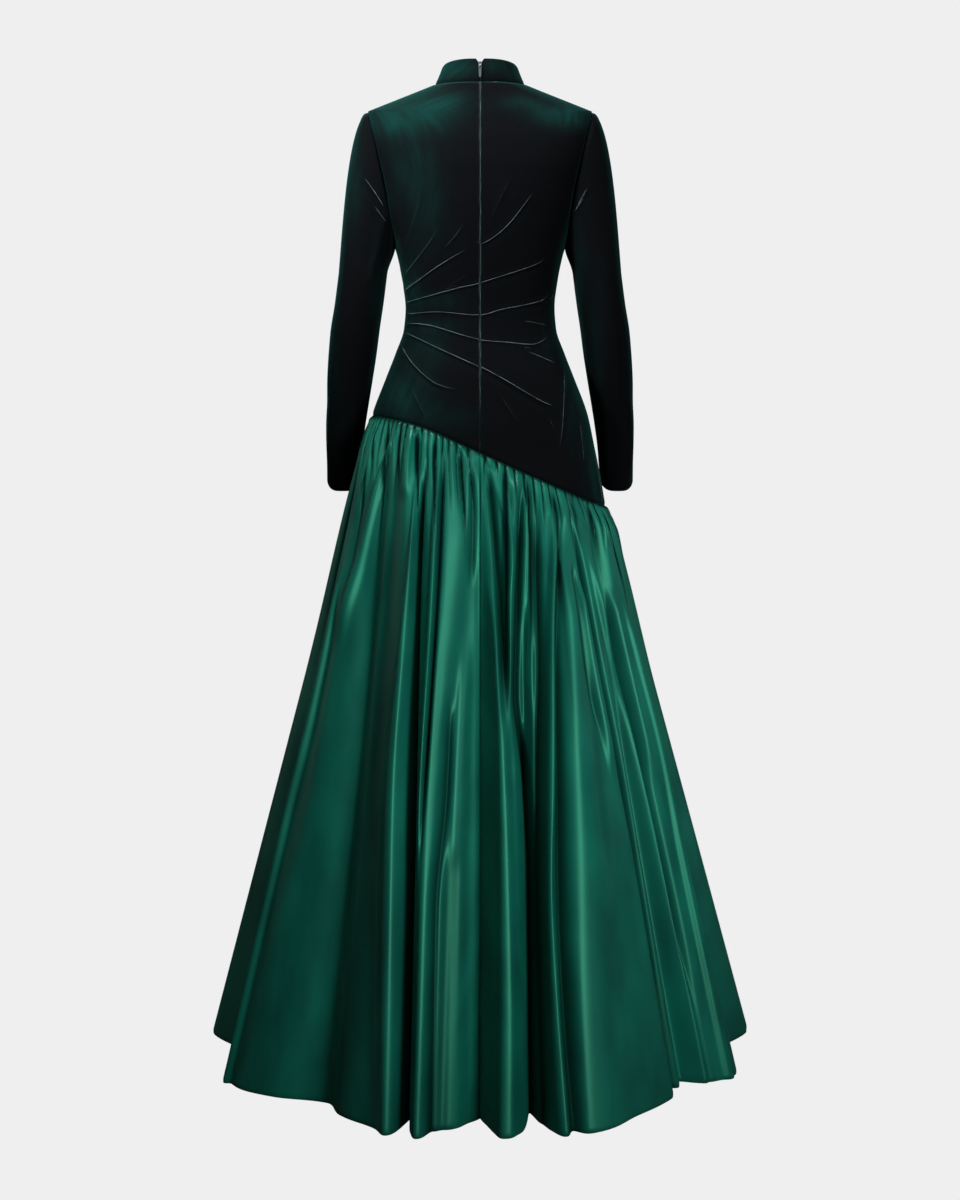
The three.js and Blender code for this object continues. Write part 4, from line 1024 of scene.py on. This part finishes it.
def skirtPanel(name, fromShare, toShare, columns, rows, folds, behind, seed):
    # Seen from outside, columns run to the right, which is towards lower shares
    share = np.linspace(toShare, fromShare, columns + 1)
    fallAt = np.concatenate([np.linspace(0, 0.02, 10)[:-1], np.linspace(0.02, 0.22, 44)[:-1],
                             np.linspace(0.22, 0.985, rows - 58)[:-1], np.linspace(0.985, 1, 6)])[::-1]
    tops = bodicePoints(np.zeros(columns + 1), np.clip(placeOnPanel(share), -1, 1), behind)
    tops[:, 2] -= skirtCut["seamGap"]
    share, fall = np.broadcast_arrays(share[None, :], fallAt[:, None])
    tops = np.broadcast_to(tops[None], (*share.shape, 3))
    rng = np.random.default_rng(seed)
    gathered, slit = gatherField(share, fall, seed)
    folded, valley = longFolds(share, fall, folds)
    lift = gathered + folded
    # Painted shade from the slits, the valleys and a band along the seam under the velvet's edge
    hollow = np.minimum(1, 1.1 * slit + 0.9 * valley + bump(fall * skirtCut["length"], 5))
    lift = lift + 0.8 * smoothNoise(rng, share * 420 + 12 * fall, 26) * smooth((fall - 0.02) / 0.2)
    girth = halfGirth(fall)
    for edge in (fromShare, toShare):
        lift = lift - 2.0 * bump((share - edge) * girth, 5) * smooth(fall / 0.03)
    lift = lift - 1.2 * bump(fall * skirtCut["length"], 4)
    lift = lift - skirtCut["hemTurn"] * bump((1 - fall) * skirtCut["length"], 3)
    points = skirtPoints(share, fall, tops, lift)
    uv = np.stack([(share - (fromShare + toShare) / 2) * girth, (1 - fall) * 1000], axis=-1)
    return addCloth(name, points, uv, {"hollow": hollow}, satinCloth, skirtCut["thick"])


backGrid = (skirtCut["backColumns"], skirtCut["backRows"])
frontGrid = (skirtCut["frontColumns"], skirtCut["frontRows"])
skirtLeft = skirtPanel("skirt_back_left", 0, 0.5, *backGrid, backFolds, True, 41)
skirtRight = skirtPanel("skirt_back_right", 1.5, 2, *backGrid, backFolds, True, 42)
skirtFront = skirtPanel("skirt_front", 0.5, 1.5, *frontGrid, frontFolds, False, 43)
standFor("skirt_back_left")
standFor("skirt_back_right")
standFor("skirt_front")
print("skirt made")


# Zip

for node, material in (("zip_tape", tapeCloth), ("zip_slider", zinc), ("zip_pull", zinc)):
    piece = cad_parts[node]
    piece.data.materials.clear()
    piece.data.materials.append(material)
    if material is zinc:
        edges = piece.modifiers.new("cast edges", "BEVEL")
        edges.width = 0.18 * mm
        edges.segments = 2
        edges.harden_normals = True


# Stage, lights and camera

stageLook = {
    "paper": "#efefef",
    "domeRadius": 9.0,
    "ambient": 0.045,
    "lens": 62.19,
    "cameraPlace": (0, 3.4, -0.421),
    "cameraTip": 6.9,        # degrees down from level
}


def backdropDome():
    # An even, bright studio sweep that only the camera sees
    mesh = bpy.data.meshes.new("studio_sweep")
    shape = bmesh.new()
    bmesh.ops.create_icosphere(shape, subdivisions=4, radius=stageLook["domeRadius"])
    bmesh.ops.reverse_faces(shape, faces=shape.faces)
    shape.to_mesh(mesh)
    shape.free()
    dome = bpy.data.objects.new("studio_sweep", mesh)
    bpy.context.scene.collection.objects.link(dome)
    material, tree = newMaterial("sweep paper")
    glow = addNode(tree, "ShaderNodeEmission", inputs={"Color": colour(stageLook["paper"]), "Strength": 1.0})
    finishMaterial(tree, glow.outputs["Emission"])
    mesh.materials.append(material)
    dome.visible_diffuse = dome.visible_glossy = dome.visible_shadow = False
    dome.visible_transmission = dome.visible_volume_scatter = False


def softBox(name, place, target, size, power, spread=180):
    lamp = bpy.data.lights.new(name, "AREA")
    lamp.shape = "RECTANGLE"
    lamp.size, lamp.size_y = size
    lamp.energy = power
    lamp.spread = math.radians(spread)
    box = bpy.data.objects.new(name, lamp)
    bpy.context.scene.collection.objects.link(box)
    box.location = place
    aim = Vector(target) - Vector(place)
    box.rotation_euler = aim.to_track_quat("-Z", "Y").to_euler()
    box.visible_camera = False


def lights():
    # A narrow spread, as a grid gives, keeps the key on the skirt and the two high ones on the shoulders
    softBox("key", (-1.7, 2.9, 0.0), (0.0, 0.2, -0.75), (0.9, 1.3), 9.6, spread=50)
    softBox("fill", (1.3, 3.6, -0.2), (0, 0, -1.0), (1.6, 2.0), 3.7)
    softBox("shoulder left", (1.3, 1.3, 0.4), (0.1, 0.05, -0.15), (0.3, 0.5), 1.6, spread=24)
    softBox("top", (0.15, 0.15, 0.95), (0.05, 0.02, -0.05), (0.7, 0.3), 2.4, spread=40)
    softBox("front", (0.6, -3.6, 0.2), (0, 0, -0.7), (2.0, 2.4), 24)
    softBox("rim left", (2.4, -0.9, 0.0), (0, 0, -1.1), (0.5, 1.8), 3)
    softBox("rim right", (-2.4, -0.9, 0.0), (0, 0, -1.1), (0.5, 1.8), 3)
    world = bpy.data.worlds.new("room")
    bpy.context.scene.world = world
    world.use_nodes = True
    world.node_tree.nodes["Background"].inputs["Color"].default_value = (1, 1, 1, 1)
    world.node_tree.nodes["Background"].inputs["Strength"].default_value = stageLook["ambient"]


def camera():
    # Behind the gown at mid height, tipped down a little
    data = bpy.data.cameras.new("camera")
    data.lens = stageLook["lens"]
    data.sensor_width = 36
    data.dof.use_dof = False
    eye = bpy.data.objects.new("camera", data)
    bpy.context.scene.collection.objects.link(eye)
    eye.location = stageLook["cameraPlace"]
    eye.rotation_euler = (math.radians(90 - stageLook["cameraTip"]), 0, math.pi)
    bpy.context.scene.camera = eye


backdropDome()
lights()
camera()
bpy.context.scene.view_settings.view_transform = "Standard"
print("stage made")
